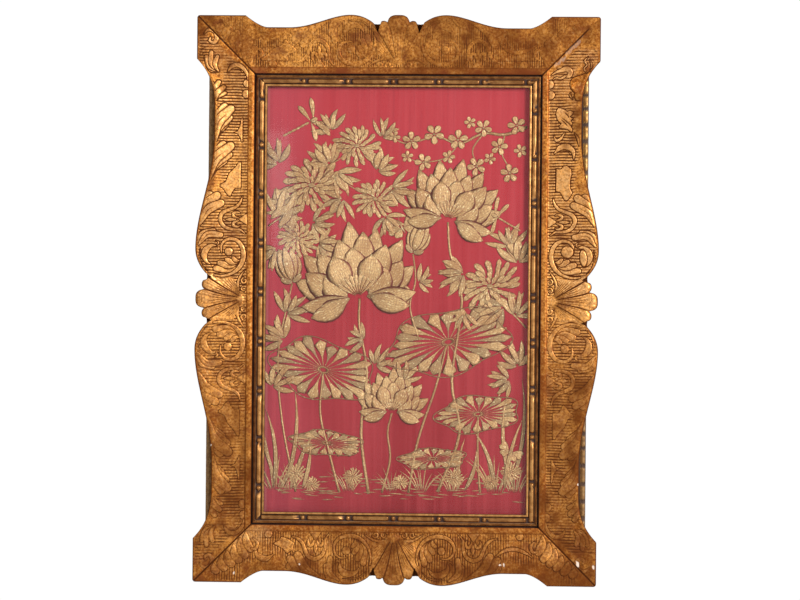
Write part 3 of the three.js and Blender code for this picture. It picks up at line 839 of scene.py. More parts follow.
silkForm = {"thick": 0.6, "ripple": 0.16, "step": 5.5}
silkBack = -float(silkHigh[1])
silkFront = silkBack + silkForm["thick"]
silkHalfX, silkHalfZ = float(silkHigh[0]), float(silkHigh[2])


def silkRise(x, z):
    # Ripples: soft slanting folds near the bottom, and a slight cockle all over.
    slant = np.sin((x * 0.55 + z) / 13.0) * np.exp(-((z + 285) / 40) ** 2)
    cockle = softNoise(x, z, 60, 5) * 0.5 + softNoise(x, z * 0.3, 24, 6) * 0.35
    return silkForm["ripple"] * (0.7 * slant + cockle)


def makeSilk():
    columns = int(2 * silkHalfX / silkForm["step"]) + 1
    rows = int(2 * silkHalfZ / silkForm["step"]) + 1
    x, z = np.meshgrid(np.linspace(-silkHalfX, silkHalfX, columns), np.linspace(-silkHalfZ, silkHalfZ, rows))
    inset = smoothStep(0, 12, np.minimum(silkHalfX - np.abs(x), silkHalfZ - np.abs(z)))
    front = np.stack([x, -(silkFront + silkRise(x, z) * inset), z], -1).reshape(-1, 3)
    back = np.stack([x, np.full(x.shape, -silkBack), z], -1).reshape(-1, 3)
    index = np.arange(rows * columns).reshape(rows, columns)
    a, b, c, d = index[:-1, :-1], index[:-1, 1:], index[1:, 1:], index[1:, :-1]
    frontFaces = np.stack([a, b, c, d], -1).reshape(-1, 4)
    backFaces = np.stack([a, d, c, b], -1).reshape(-1, 4) + rows * columns
    rim = np.concatenate([index[0, :-1], index[:-1, -1], index[-1, :0:-1], index[:0:-1, 0]])
    after = np.roll(rim, -1)
    wall = np.stack([rim, rim + rows * columns, after + rows * columns, after], -1)
    points = np.vstack([front, back])
    uv = points[:, [0, 2]] * mm
    return makeObject("silkGround", points, np.vstack([frontFaces, backFaces, wall]), uv=uv, sharpAngle=40)


silk = makeSilk()
say(f"silk ground, {len(silk.data.polygons)} faces")


# Embroidery: each petal, leaf or stem is a padded patch of couched gold thread.

patchForm = {"steps": 8, "around": 6, "puff": 0.2, "base": 0.12, "layer": 0.15, "sunk": 0.25}
patches = {"blooms": [], "leaves": []}
cords = []


def patch(kind, base, angle, length, half, bend=0.0, belly=0.6, blunt=0.6, layer=0, tone=0.3, puff=1.0):
    # Remembers one patch. Angles are in degrees; the bend is how far it turns from base to tip.
    patches[kind].append((base[0], base[1], angle, length, half, bend, belly, blunt, layer, tone, puff))


def patchMesh(name, rows):
    # A patch follows an arc; its half width is half * sin(pi * t ** p) ** blunt, so it is widest at its
    # belly. Across, its top is domed; its underside is one line sunk into the silk.
    data = np.array(rows, float)
    bx, bz, angle, length, half, bend, belly, blunt, layer, tone, puff = data.T[:, :, None]
    f = patchForm
    t = np.linspace(0, 1, f["steps"])[None, :]
    turnAt = np.radians(angle + bend * (t - 0.5))
    stepX, stepZ = np.cos(turnAt) * length / (f["steps"] - 1), np.sin(turnAt) * length / (f["steps"] - 1)
    cx = bx + np.concatenate([np.zeros((len(data), 1)), np.cumsum((stepX[:, 1:] + stepX[:, :-1]) / 2, 1)], 1)
    cz = bz + np.concatenate([np.zeros((len(data), 1)), np.cumsum((stepZ[:, 1:] + stepZ[:, :-1]) / 2, 1)], 1)
    power = np.log(0.5) / np.log(belly)
    width = half * np.maximum(np.sin(np.pi * t ** power), 0.0) ** blunt
    width = np.maximum(width, 0.06 * half + 0.05)
    v = np.array([-1.0, -0.55, 0.0, 0.55, 1.0])[None, None, :]
    sideX, sideZ = -np.sin(turnAt)[..., None], np.cos(turnAt)[..., None]
    x = cx[..., None] + sideX * v * width[..., None]
    z = cz[..., None] + sideZ * v * width[..., None]
    swell = (width / half) ** 0.6
    top = f["base"] + f["layer"] * layer[..., None] + (f["puff"] * puff * swell)[..., None] * (1 - v ** 2)
    y = silkFront + silkRise(x, z) + top
    underX, underZ = cx[..., None], cz[..., None]
    underY = silkFront + silkRise(underX, underZ) - f["sunk"]
    ring = np.stack([np.concatenate([x, underX], 2), -np.concatenate([y, underY], 2),
                     np.concatenate([z, underZ], 2)], -1)
    count, steps = f["around"], f["steps"]
    along = np.broadcast_to((t * length)[..., None], x.shape)
    across = v * width[..., None]
    uv = np.stack([np.concatenate([along, along[..., :1]], 2),
                   np.concatenate([across, np.zeros_like(across[..., :1])], 2)], -1) * mm
    faces = ringFaces(steps, count)
    starts = np.arange(len(data)) * steps * count
    quads = (faces[None] + starts[:, None, None]).reshape(-1, 4)
    cap = np.arange(count)
    caps = [start + cap[::-1] for start in starts] + [start + (steps - 1) * count + cap for start in starts]
    tones = np.broadcast_to((tone + 0.42 * (1 - t) ** 2)[..., None], ring.shape[:3])
    sides = np.broadcast_to(np.append(v, 0.0)[None, None, :], ring.shape[:3])
    values = {"tone": np.clip(tones, 0, 1).ravel(), "across": sides.ravel()}
    return makeObject(name, ring.reshape(-1, 3), quads, caps, uv=uv.reshape(-1, 2), values=values)


def polar(centre, angle, radius, squash=1.0, lean=0.0):
    # A place round a centre, with the circle squashed across the lean's direction.
    a = math.radians(angle)
    x, z = radius * math.cos(a), radius * math.sin(a) * squash
    c, s = math.cos(math.radians(lean)), math.sin(math.radians(lean))
    return centre[0] + x * c - z * s, centre[1] + x * s + z * c


def rayTo(start, end):
    return (math.degrees(math.atan2(end[1] - start[1], end[0] - start[0])),
            math.hypot(end[0] - start[0], end[1] - start[1]))


def chrysanthemum(centre, radius, seed, squash=0.82, lean=0.0):
    # Four rings of narrow petals that curl to one side, closing to a button.
    rng = np.random.default_rng(seed)
    rings = [(1.0, 0.42, 17, 0.105), (0.8, 0.3, 14, 0.095), (0.58, 0.2, 11, 0.085), (0.36, 0.08, 8, 0.08)]
    for layer, (reach, root, count, breadth) in enumerate(rings):
        for k in range(count):
            at = 360 * (k + 0.5 * (layer % 2)) / count + rng.uniform(-5, 5)
            far = radius * reach * rng.uniform(0.9, 1.06)
            angle, length = rayTo(polar(centre, at - 6, radius * root, squash, lean),
                                  polar(centre, at + 5, far, squash, lean))
            patch("blooms", polar(centre, at - 6, radius * root, squash, lean), angle, length,
                  radius * breadth * rng.uniform(0.85, 1.1), bend=rng.uniform(14, 34), belly=0.66, blunt=0.5,
                  layer=layer, tone=rng.uniform(0.05, 0.35) + 0.06 * (3 - layer))
    patch("blooms", (centre[0] - radius * 0.1, centre[1]), 0, radius * 0.2, radius * 0.09, belly=0.5, blunt=0.5,
          layer=4, tone=0.5)


def lotus(centre, width, seed, lean=90.0):
    # Cupped petals fan out from the seed head: a back row, a middle row and a front row.
    rng = np.random.default_rng(seed)
    rows = [(7, 62, 0.62, 0.115, 0), (6, 50, 0.52, 0.125, 2), (5, 36, 0.38, 0.13, 4)]
    for count, spread, reach, breadth, layer in rows:
        for k in range(count):
            share = 2 * k / (count - 1) - 1
            at = lean + share * spread
            start = polar(centre, lean + share * 100, width * 0.1)
            patch("blooms", start, at, width * reach * rng.uniform(0.92, 1.04) * (1 - 0.12 * abs(share)),
                  width * breadth, bend=-20 * share, belly=0.55, blunt=0.85, layer=layer + k % 2,
                  tone=rng.uniform(0.1, 0.3))
    for side in (-1, 1):
        for step, drop in ((0, 28), (1, 52)):
            start = polar(centre, lean + side * 90, width * (0.08 + 0.03 * step))
            patch("blooms", start, lean + side * (70 + drop * 0.8), width * (0.46 - 0.08 * step), width * 0.1,
                  bend=side * -30, belly=0.5, blunt=0.8, layer=5 + step, tone=rng.uniform(0.2, 0.4))
    for k in range(9):
        at = lean + (k - 4) * 13
        patch("blooms", polar(centre, at, width * 0.03), at, width * 0.2, width * 0.018, belly=0.7, layer=6, tone=0.1)


def lotusLeaf(centre, radius, seed, squash=0.55, lean=0.0):
    # A round leaf seen at a slant: wedges from its navel with wavy ends, shaded by turns.
    rng = np.random.default_rng(seed)
    count = 22
    for k in range(count):
        at = 360 * k / count
        wave = 1 + 0.09 * math.sin(math.radians(5 * at + 40 * seed)) + rng.uniform(-0.03, 0.03)
        start, end = polar(centre, at, radius * 0.06, squash, lean), polar(centre, at + 4, radius * wave, squash, lean)
        angle, length = rayTo(start, end)
        across = rayTo(polar(centre, at - 7.6, radius, squash, lean), polar(centre, at + 7.6, radius, squash, lean))[1]
        patch("leaves", start, angle, length, across / 2, bend=10, belly=0.86, blunt=0.62, layer=0,
              tone=0.2 + 0.5 * (k % 2) + rng.uniform(-0.08, 0.08), puff=0.8)
    turns = np.linspace(0, 360, 45)
    waves = 1.01 + 0.09 * np.sin(np.radians(5 * turns + 40 * seed))
    cord([polar(centre, at, radius * wave, squash, lean) for at, wave in zip(turns, waves)], 1.5, tone=0.8, layer=3)
    cord([polar(centre, at, radius * 0.1, squash, lean) for at in range(0, 361, 40)], 1.6, tone=0.2, layer=4)


def lotusBud(centre, size, seed, lean=90.0):
    rng = np.random.default_rng(seed)
    for k, (turn, long) in enumerate([(-30, 0.8), (30, 0.8), (-15, 0.95), (15, 0.95), (0, 1.0)]):
        patch("blooms", polar(centre, lean + turn, size * 0.04), lean + turn * 0.7, size * long, size * 0.17,
              bend=-turn * 1.3, belly=0.45, blunt=0.8, layer=k, tone=rng.uniform(0.05, 0.3))
    for turn in (-60, 60):
        patch("leaves", centre, lean + turn, size * 0.36, size * 0.1, bend=-turn * 0.6, belly=0.5, layer=4, tone=0.6)


def butterfly(centre, size, angle, seed):
    rng = np.random.default_rng(seed)
    for side in (-1, 1):
        for sweep, long, half in ((62, 0.6, 0.15), (84, 0.55, 0.14), (118, 0.42, 0.13), (142, 0.34, 0.1)):
            patch("blooms", polar(centre, angle + side * 90, size * 0.03), angle + side * sweep, size * long,
                  size * half, bend=side * 14, belly=0.72, blunt=0.55, layer=1 + (sweep > 100),
                  tone=rng.uniform(0.05, 0.5))
    patch("blooms", polar(centre, angle + 180, size * 0.22), angle, size * 0.44, size * 0.045, belly=0.6, blunt=0.5,
          layer=4, tone=0.6)
    for side in (-1, 1):
        patch("leaves", polar(centre, angle, size * 0.2), angle + side * 22, size * 0.3, size * 0.012,
              bend=side * 40, belly=0.5, layer=2, tone=0.5)


def leafPair(kind, base, angle, length, half, tone, bend=14.0, layer=0):
    # A pointed leaf worked in two halves with the silk showing as its midrib.
    for side in (-1, 1):
        start = (base[0] - side * half * 0.18 * math.sin(math.radians(angle)),
                 base[1] + side * half * 0.18 * math.cos(math.radians(angle)))
        patch(kind, start, angle + side * 9, length, half * 0.5, bend=bend - side * 22, belly=0.5, blunt=0.85,
              layer=layer, tone=tone)


def leafCluster(base, angle, size, count, seed, spread=110):
    rng = np.random.default_rng(seed)
    for k in range(count):
        share = 2 * k / max(count - 1, 1) - 1
        leafPair("leaves", base, angle + share * spread / 2 + rng.uniform(-8, 8), size * rng.uniform(0.8, 1.15),
                 size * rng.uniform(0.26, 0.36), rng.uniform(0.15, 0.6), bend=rng.uniform(-18, 18), layer=k % 3)


def cord(points, width, tone=0.35, layer=0):
    # A stem or outline along a smooth curve; widths are given at its two ends.
    ends = width if hasattr(width, "__len__") else (width, width)
    cords.append((smoothCurve(points, 5), ends, tone, layer))


def cordMesh(name, rows):
    # Each cord is a half-round ribbon of three points over one that is sunk into the silk.
    points, faces, caps, uvs, tones = [], [], [], [], []
    total = 0
    for curve, ends, tone, layer in rows:
        direction = np.gradient(curve, axis=0)
        direction /= np.maximum(np.linalg.norm(direction, axis=1), 1e-6)[:, None]
        normal = np.stack([-direction[:, 1], direction[:, 0]], 1)
        half = np.linspace(*ends, len(curve))[:, None] / 2
        v = np.array([-1.0, 0.0, 1.0])
        place = curve[:, None, :] + normal[:, None, :] * (half * v)[..., None]
        rise = patchForm["base"] + patchForm["layer"] * layer + 0.22 * (1 - v ** 2)
        top = silkFront + silkRise(place[..., 0], place[..., 1]) + rise
        under = silkFront + silkRise(curve[:, 0], curve[:, 1]) - patchForm["sunk"]
        ring = np.concatenate([np.stack([place[..., 0], -top, place[..., 1]], -1),
                               np.stack([curve[:, 0], -under, curve[:, 1]], -1)[:, None]], 1)
        length = np.concatenate([[0], np.cumsum(np.linalg.norm(np.diff(curve, axis=0), axis=1))])
        across = np.concatenate([half * v, np.zeros((len(curve), 1))], 1)
        uvs.append(np.stack([np.repeat(length[:, None], 4, 1), across], -1).reshape(-1, 2) * mm)
        points.append(ring.reshape(-1, 3))
        faces.append(ringFaces(len(curve), 4) + total)
        caps += [total + np.arange(4)[::-1], total + (len(curve) - 1) * 4 + np.arange(4)]
        tones.append(np.full(len(curve) * 4, tone))
        total += len(curve) * 4
    sides = np.tile([-1.0, 0.0, 1.0, 0.0], total // 4)
    values = {"tone": np.concatenate(tones), "across": sides}
    return makeObject(name, np.vstack(points), np.vstack(faces), caps, uv=np.vstack(uvs), values=values)


def blossom(centre, radius, seed, turn=0.0):
    rng = np.random.default_rng(seed)
    for k in range(5):
        at = turn + 72 * k + rng.uniform(-5, 5)
        patch("blooms", polar(centre, at, radius * 0.14), at, radius * 0.88, radius * 0.36, belly=0.62, blunt=0.5,
              layer=1 + k % 2, tone=rng.uniform(0.05, 0.3))
    patch("blooms", (centre[0] - radius * 0.14, centre[1]), 0, radius * 0.28, radius * 0.13, belly=0.5, blunt=0.5,
          layer=4, tone=0.7)


def reed(base, angle, length, half, bend, tone, layer=0):
    patch("leaves", base, angle, length, half, bend=bend, belly=0.35, blunt=0.9, layer=layer, tone=tone, puff=0.7)


def dragonfly(centre, size, angle, seed):
    rng = np.random.default_rng(seed)
    for k in range(6):
        start = polar(centre, angle + 180, size * (0.05 + 0.13 * k))
        patch("blooms", start, angle + 180, size * 0.15, size * 0.035, belly=0.5, blunt=0.5, layer=3, tone=0.3)
    patch("blooms", polar(centre, angle, size * 0.0), angle, size * 0.2, size * 0.07, belly=0.5, blunt=0.5, layer=4,
          tone=0.4)
    for side in (-1, 1):
        for sweep, long in ((70, 0.62), (102, 0.55)):
            patch("blooms", polar(centre, angle, size * (0.08 if sweep == 70 else 0.0)), angle + side * sweep,
                  size * long, size * 0.075, bend=side * 12, belly=0.7, blunt=0.55, layer=1, tone=rng.uniform(0.1, 0.3))


def grassTuft(base, size, seed, count=9):
    rng = np.random.default_rng(seed)
    for k in range(count):
        share = 2 * k / (count - 1) - 1
        start = (base[0] + share * size * 0.16, base[1] + rng.uniform(-1.5, 1.5))
        reed(start, 90 - share * 42 + rng.uniform(-6, 6), size * rng.uniform(0.6, 1.1), size * 0.024,
             -share * 45, rng.uniform(0.2, 0.7))


def drawEmbroidery():
    # Water lilies rise from the foot, chrysanthemums fill the middle, and a plum branch hangs from above.
    lotus((-58, 4), 162, 3, lean=98)
    lotus((76, 122), 128, 4, lean=76)
    lotus((-6, -168), 92, 14, lean=88)
    lotusBud((-158, 26), 52, 15, lean=104)
    lotusBud((24, 72), 46, 16, lean=70)
    lotusLeaf((78, -62), 92, 5, squash=0.52, lean=12)
    lotusLeaf((-110, -106), 78, 6, squash=0.56, lean=-14)
    lotusLeaf((124, -170), 62, 7, squash=0.44, lean=6)
    lotusLeaf((-104, -216), 54, 8, squash=0.34, lean=-4)
    lotusLeaf((56, -238), 50, 17, squash=0.3, lean=3)
    chrysanthemum((-130, 172), 50, 9, lean=20)
    chrysanthemum((-62, 232), 38, 10, lean=-10)
    chrysanthemum((140, 22), 48, 12, lean=35)
    chrysanthemum((-34, 152), 36, 13, lean=0)
    chrysanthemum((-150, 92), 34, 18, lean=-30)
    for points, width in [
        ([(-40, -292), (-52, -200), (-44, -110), (-56, -40), (-56, 2)], (5, 3.6)),
        ([(64, -288), (96, -200), (84, -120), (98, 0), (80, 70), (76, 118)], (5, 3.4)),
        ([(20, -290), (34, -210), (60, -130), (76, -66)], (4.4, 3.2)),
        ([(-84, -290), (-100, -230), (-114, -170), (-110, -110)], (4.4, 3.2)),
        ([(128, -288), (124, -240), (124, -174)], (4, 3)),
        ([(-20, -290), (-8, -240), (-12, -200), (-6, -170)], (3.6, 2.8)),
        ([(-150, -290), (-172, -180), (-178, -80), (-158, 24)], (3.6, 2.6)),
        ([(34, -60), (20, -10), (28, 30), (24, 70)], (3.2, 2.4)),
        ([(-195, 110), (-170, 128), (-146, 150), (-132, 168)], (3, 2)),
        ([(-146, 150), (-116, 192), (-88, 212), (-64, 230)], (2.6, 1.8)),
        ([(-116, 192), (-80, 176), (-56, 162), (-36, 154)], (2.2, 1.6)),
        ([(-170, 128), (-160, 110), (-152, 96)], (2.2, 1.6)),
        ([(195, -40), (174, -18), (154, 4), (142, 18)], (3, 2)),
        ([(194, 262), (160, 250), (128, 252), (92, 236), (58, 246), (14, 236), (-8, 244)], (5.4, 2)),
        ([(128, 252), (112, 226), (120, 200), (112, 186)], (2.8, 1.4)),
        ([(92, 236), (70, 214), (36, 208), (14, 214)], (2.6, 1.4)),
        ([(160, 250), (156, 222), (170, 194), (166, 178)], (2.8, 1.4)),
    ]:
        cord(points, width, tone=0.45)
    for x, z, r in [(20, 240, 14), (54, 250, 15), (38, 208, 13), (90, 242, 15), (118, 202, 14), (128, 260, 13),
                    (168, 192, 14), (152, 232, 13), (178, 264, 14), (76, 216, 10), (108, 268, 9), (184, 226, 10),
                    (14, 216, 9), (-6, 246, 9), (138, 214, 9)]:
        blossom((x, z), r, int(x + z + 50), turn=x)
    for x, z, angle, size, count in [
        (-178, 126, 60, 40, 5), (-160, 140, 200, 38, 4), (-104, 206, 120, 36, 5), (-92, 190, -60, 34, 4),
        (-30, 196, 50, 34, 4), (-8, 168, -10, 34, 4), (-18, 124, -60, 30, 4), (-102, 256, 110, 30, 4),
        (-24, 246, 60, 26, 3), (158, -10, 190, 38, 4), (178, -20, 70, 34, 4), (182, 60, 80, 36, 5),
        (98, 40, 190, 36, 5), (168, 84, 100, 32, 4), (-182, 206, 120, 34, 4), (-182, 74, 250, 34, 4),
        (-116, 84, -20, 34, 4), (-84, 150, 230, 30, 4), (-126, 116, -10, 30, 4), (102, -20, 250, 26, 3),
        (34, 28, 20, 26, 3), (18, 2, 170, 26, 3), (-172, -60, 140, 34, 4), (-166, -20, 50, 34, 4),
        (-186, -130, 60, 34, 4), (182, -96, 110, 34, 4), (168, -118, 200, 30, 4), (-30, -96, 40, 28, 4),
        (-50, -60, 160, 26, 3), (10, -120, 80, 28, 4),
    ]:
        leafCluster((x, z), angle, size, count, int(abs(x * 3 + z)))
    dragonfly((-132, 268), 56, 28, 21)
    dragonfly((150, 126), 48, 150, 22)
    butterfly((8, 108), 40, 120, 23)
    butterfly((172, -228), 34, 60, 24)
    for x, size in [(-182, 60), (-158, 44), (-70, 40), (-6, 36), (40, 44), (86, 38), (150, 62), (180, 50)]:
        grassTuft((x, -288), size, int(x + 300))
    for k, (x, z, angle, long, bend) in enumerate([
        (-176, -284, 100, 190, -26), (-168, -284, 84, 150, 30), (-184, -284, 96, 120, 34), (172, -284, 84, 170, 30),
        (180, -284, 96, 140, -34), (164, -284, 76, 110, -20), (-150, -284, 70, 96, -40), (150, -286, 110, 100, 36),
        (-140, -286, 80, 70, 20), (96, -286, 84, 80, -30), (104, -286, 74, 66, 34),
    ]):
        reed((x, z), angle, long, 3.6, bend, 0.3 + 0.08 * (k % 4), layer=k % 3)
    rng = np.random.default_rng(33)
    for k in range(90):
        x, z = rng.uniform(-185, 185), -296 + rng.uniform(-6, 30)
        reed((x, z), rng.uniform(-6, 6), rng.uniform(9, 26), 0.9, rng.uniform(-16, 16), rng.uniform(0.4, 0.9))
    for x, z, size in [(-150, -262, 17), (-126, -278, 13), (-64, -266, 15), (8, -274, 13), (88, -266, 16),
                       (144, -272, 13), (174, -256, 16)]:
        chrysanthemum((x, z), size, int(abs(x)), squash=0.9)


drawEmbroidery()
embroidery = {}
for kind in patches:
    embroidery[kind] = patchMesh(f"embroidery{kind.capitalize()}", patches[kind])
embroidery["stems"] = cordMesh("embroideryStems", cords)
for kind, piece in embroidery.items():
    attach(piece, "root")
    say(f"embroidered {kind}, {len(piece.data.polygons)} faces")
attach(silk, "root")
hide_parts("silk")


# Finishes

def newMaterial(name, metallic=0.0, roughness=0.5):
    material = bpy.data.materials.new(name)
    material.use_nodes = True
    nodes, links = material.node_tree.nodes, material.node_tree.links
    shader = nodes["Principled BSDF"]
    shader.inputs["Metallic"].default_value = metallic
    shader.inputs["Roughness"].default_value = roughness
    return material, nodes, links, shader


class Graph:
    # Short ways to add and join nodes in one material.
    def __init__(self, name, metallic=0.0, roughness=0.5):
        self.material, self.nodes, self.links, self.shader = newMaterial(name, metallic, roughness)

    def put(self, value, socket):
        if isinstance(value, bpy.types.NodeSocket):
            self.links.new(value, socket)
        elif hasattr(value, "__len__"):
            socket.default_value = (*value, 1.0) if len(socket.default_value) == 4 else value
        else:
            socket.default_value = value

    def attribute(self, name):
        node = self.nodes.new("ShaderNodeAttribute")
        node.attribute_name = name
        return node.outputs["Fac"]

    def coordinates(self, kind="Object", scale=(1, 1, 1), turn=0.0):
        node = self.nodes.new("ShaderNodeTexCoord")
        mapping = self.nodes.new("ShaderNodeMapping")
        mapping.inputs["Scale"].default_value = scale
        mapping.inputs["Rotation"].default_value = (0, math.radians(turn), 0)
        self.links.new(node.outputs[kind], mapping.inputs["Vector"])
        return mapping.outputs["Vector"]

    def noise(self, vector, scale, detail=3.0, rough=0.5, distort=0.0):
        node = self.nodes.new("ShaderNodeTexNoise")
        node.inputs["Scale"].default_value = scale
        node.inputs["Detail"].default_value = detail
        node.inputs["Roughness"].default_value = rough
        node.inputs["Distortion"].default_value = distort
        self.links.new(vector, node.inputs["Vector"])
        return node.outputs["Fac"]

    def span(self, value, low, high, toLow=0.0, toHigh=1.0):
        node = self.nodes.new("ShaderNodeMapRange")
        node.interpolation_type = "SMOOTHSTEP"
        self.put(value, node.inputs["Value"])
        for key, number in (("From Min", low), ("From Max", high), ("To Min", toLow), ("To Max", toHigh)):
            node.inputs[key].default_value = number
        return node.outputs["Result"]

    def maths(self, kind, a, b=0.0):
        node = self.nodes.new("ShaderNodeMath")
        node.operation = kind
        self.put(a, node.inputs[0])
        self.put(b, node.inputs[1])
        return node.outputs["Value"]

    def mix(self, share, a, b, blend="MIX"):
        node = self.nodes.new("ShaderNodeMix")
        node.data_type, node.blend_type = "RGBA", blend
        self.put(share, node.inputs["Factor"])
        self.put(a, node.inputs[6])
        self.put(b, node.inputs[7])
        return node.outputs[2]

    def bump(self, height, strength, distance):
        node = self.nodes.new("ShaderNodeBump")
        node.inputs["Strength"].default_value = strength
        node.inputs["Distance"].default_value = distance
        self.links.new(height, node.inputs["Height"])
        self.links.new(node.outputs["Normal"], self.shader.inputs["Normal"])

    def finish(self, colour, roughness=None, metallic=None):
        self.put(colour, self.shader.inputs["Base Color"])
        if roughness is not None:
            self.put(roughness, self.shader.inputs["Roughness"])
        if metallic is not None:
            self.put(metallic, self.shader.inputs["Metallic"])
        return self.material


goldTones = {
    "bright": (0.97, 0.41, 0.076), "mid": (0.49, 0.15, 0.018), "deep": (0.22, 0.06, 0.014),
    "recess": (0.095, 0.026, 0.007), "bole": (0.25, 0.062, 0.02), "patinaAndRimShade": (0.122, 0.030, 0.005),
    "paleHighlight": (1.0, 0.54, 0.205),
    "gesso": (0.84, 0.68, 0.55), "wood": (0.20, 0.11, 0.055),
}


def gildingMaterial():
    g = Graph("wornGilding", metallic=0.7, roughness=0.4)
    c = goldTones
    place = g.coordinates()
    broad, small = g.noise(place, 14, 4, 0.6), g.noise(place, 180, 3, 0.6)
    fine = g.noise(place, 300, 3, 0.7)
    tone = g.maths("ADD", g.maths("MULTIPLY", broad, 0.5), g.maths("MULTIPLY", small, 0.5))
    gold = g.mix(g.span(tone, 0.40, 0.60), c["mid"], c["bright"])
    gold = g.mix(g.span(fine, 0.48, 0.62, 0.0, 0.75), gold, c["deep"])
    gold = g.mix(g.span(fine, 0.36, 0.46, 0.5, 0.0), gold, (1.0, 0.55, 0.2))
    rubbed = g.maths("MULTIPLY", g.span(g.noise(place, 34, 4, 0.65), 0.52, 0.68), 0.75)
    gold = g.mix(g.maths("MAXIMUM", rubbed, g.attribute("red")), gold, c["bole"])
    worn = g.span(g.maths("ADD", g.maths("MULTIPLY", fine, 0.6), g.maths("MULTIPLY", small, 0.4)), 0.4, 0.6, 1.0, 0.35)
    # pale gold on the highs: rubbed wear and painted highlight
    gold = g.mix(g.maths("MULTIPLY", g.attribute("high"), worn), gold, c["paleHighlight"])
    # patina, and painted shade along the outer rim
    gold = g.mix(g.maths("MULTIPLY", g.attribute("patinaAndRimShade"), 0.9), gold, c["patinaAndRimShade"])
    # grime and painted shade: recesses, joints, notch floors and the outer rim turn dark
    gold = g.mix(g.span(g.attribute("grimeAndShade"), 0.08, 0.6), gold, c["recess"])
    gold = g.mix(g.attribute("chips"), gold, c["gesso"])
    bare = g.attribute("bare")
    grain = g.noise(g.coordinates(scale=(1, 1, 0.08)), 160, 3, 0.6)
    wood = g.mix(g.span(grain, 0.35, 0.65), (0.13, 0.068, 0.033), c["wood"])
    colour = g.mix(bare, gold, wood)
    dull = g.maths("MAXIMUM", g.maths("MAXIMUM", g.span(g.attribute("grimeAndShade"), 0.1, 0.7), g.attribute("chips")), bare)
    dull = g.maths("MAXIMUM", dull, g.attribute("patinaAndRimShade"))
    dull = g.maths("MAXIMUM", dull, g.maths("MULTIPLY", g.attribute("red"), 0.5))
    rough = g.maths("ADD", g.span(small, 0.3, 0.7, 0.34, 0.52), g.maths("MULTIPLY", dull, 0.3))
    g.bump(g.maths("ADD", g.maths("MULTIPLY", small, 0.5), g.maths("MULTIPLY", fine, 0.5)), 0.45, 0.0007)
    g.shader.inputs["Specular IOR Level"].default_value = 0.03
    return g.finish(colour, rough, g.span(dull, 0.0, 1.0, 0.72, 0.05))


def slipMaterial():
    g = Graph("beadGilding", metallic=0.7, roughness=0.4)
    c = goldTones
    place = g.coordinates()
    small, fine = g.noise(place, 90, 3, 0.6), g.noise(place, 420, 2, 0.6)
    gold = g.mix(g.span(small, 0.35, 0.65), (0.44, 0.185, 0.050), (0.72, 0.365, 0.115))
    gold = g.mix(g.span(fine, 0.58, 0.74, 0.0, 0.6), gold, c["bole"])
    # painted shade: the dark brown of the fillet and strip on their shaded sides
    sideShade = g.mix(g.span(small, 0.4, 0.6), (0.11, 0.036, 0.011), (0.20, 0.075, 0.022))
    gold = g.mix(g.attribute("sideShade"), gold, sideShade)
    # painted shade in the grooves and between the beads
    gold = g.mix(g.span(g.attribute("grimeAndShade"), 0.15, 0.7), gold, (0.04, 0.012, 0.006))
    colour = g.mix(g.attribute("bare"), gold, c["wood"])
    dull = g.maths("MAXIMUM", g.span(g.attribute("grimeAndShade"), 0.1, 0.6), g.attribute("bare"))
    g.bump(fine, 0.3, 0.0004)
    return g.finish(colour, g.maths("ADD", 0.36, g.maths("MULTIPLY", dull, 0.35)), g.span(dull, 0, 1, 0.75, 0.05))


def backMaterial():
    g = Graph("backBoardWood", roughness=0.7)
    place = g.coordinates(scale=(1, 1, 1))
    grain = g.noise(g.coordinates(scale=(1, 1, 0.06)), 140, 4, 0.6, 0.4)
    wood = g.mix(g.span(grain, 0.3, 0.7), (0.060, 0.028, 0.016), (0.13, 0.066, 0.034))
    wood = g.mix(g.span(g.noise(place, 9, 3), 0.45, 0.7, 0.0, 0.5), wood, (0.045, 0.02, 0.014))
    small = g.noise(place, 160, 3, 0.6)
    gold = g.mix(g.span(small, 0.35, 0.65), (0.50, 0.24, 0.06), (0.72, 0.40, 0.12))
    gilt = g.attribute("gilt")
    g.bump(grain, 0.3, 0.0005)
    return g.finish(g.mix(gilt, wood, gold), g.span(gilt, 0, 1, 0.72, 0.42), g.maths("MULTIPLY", gilt, 0.6))


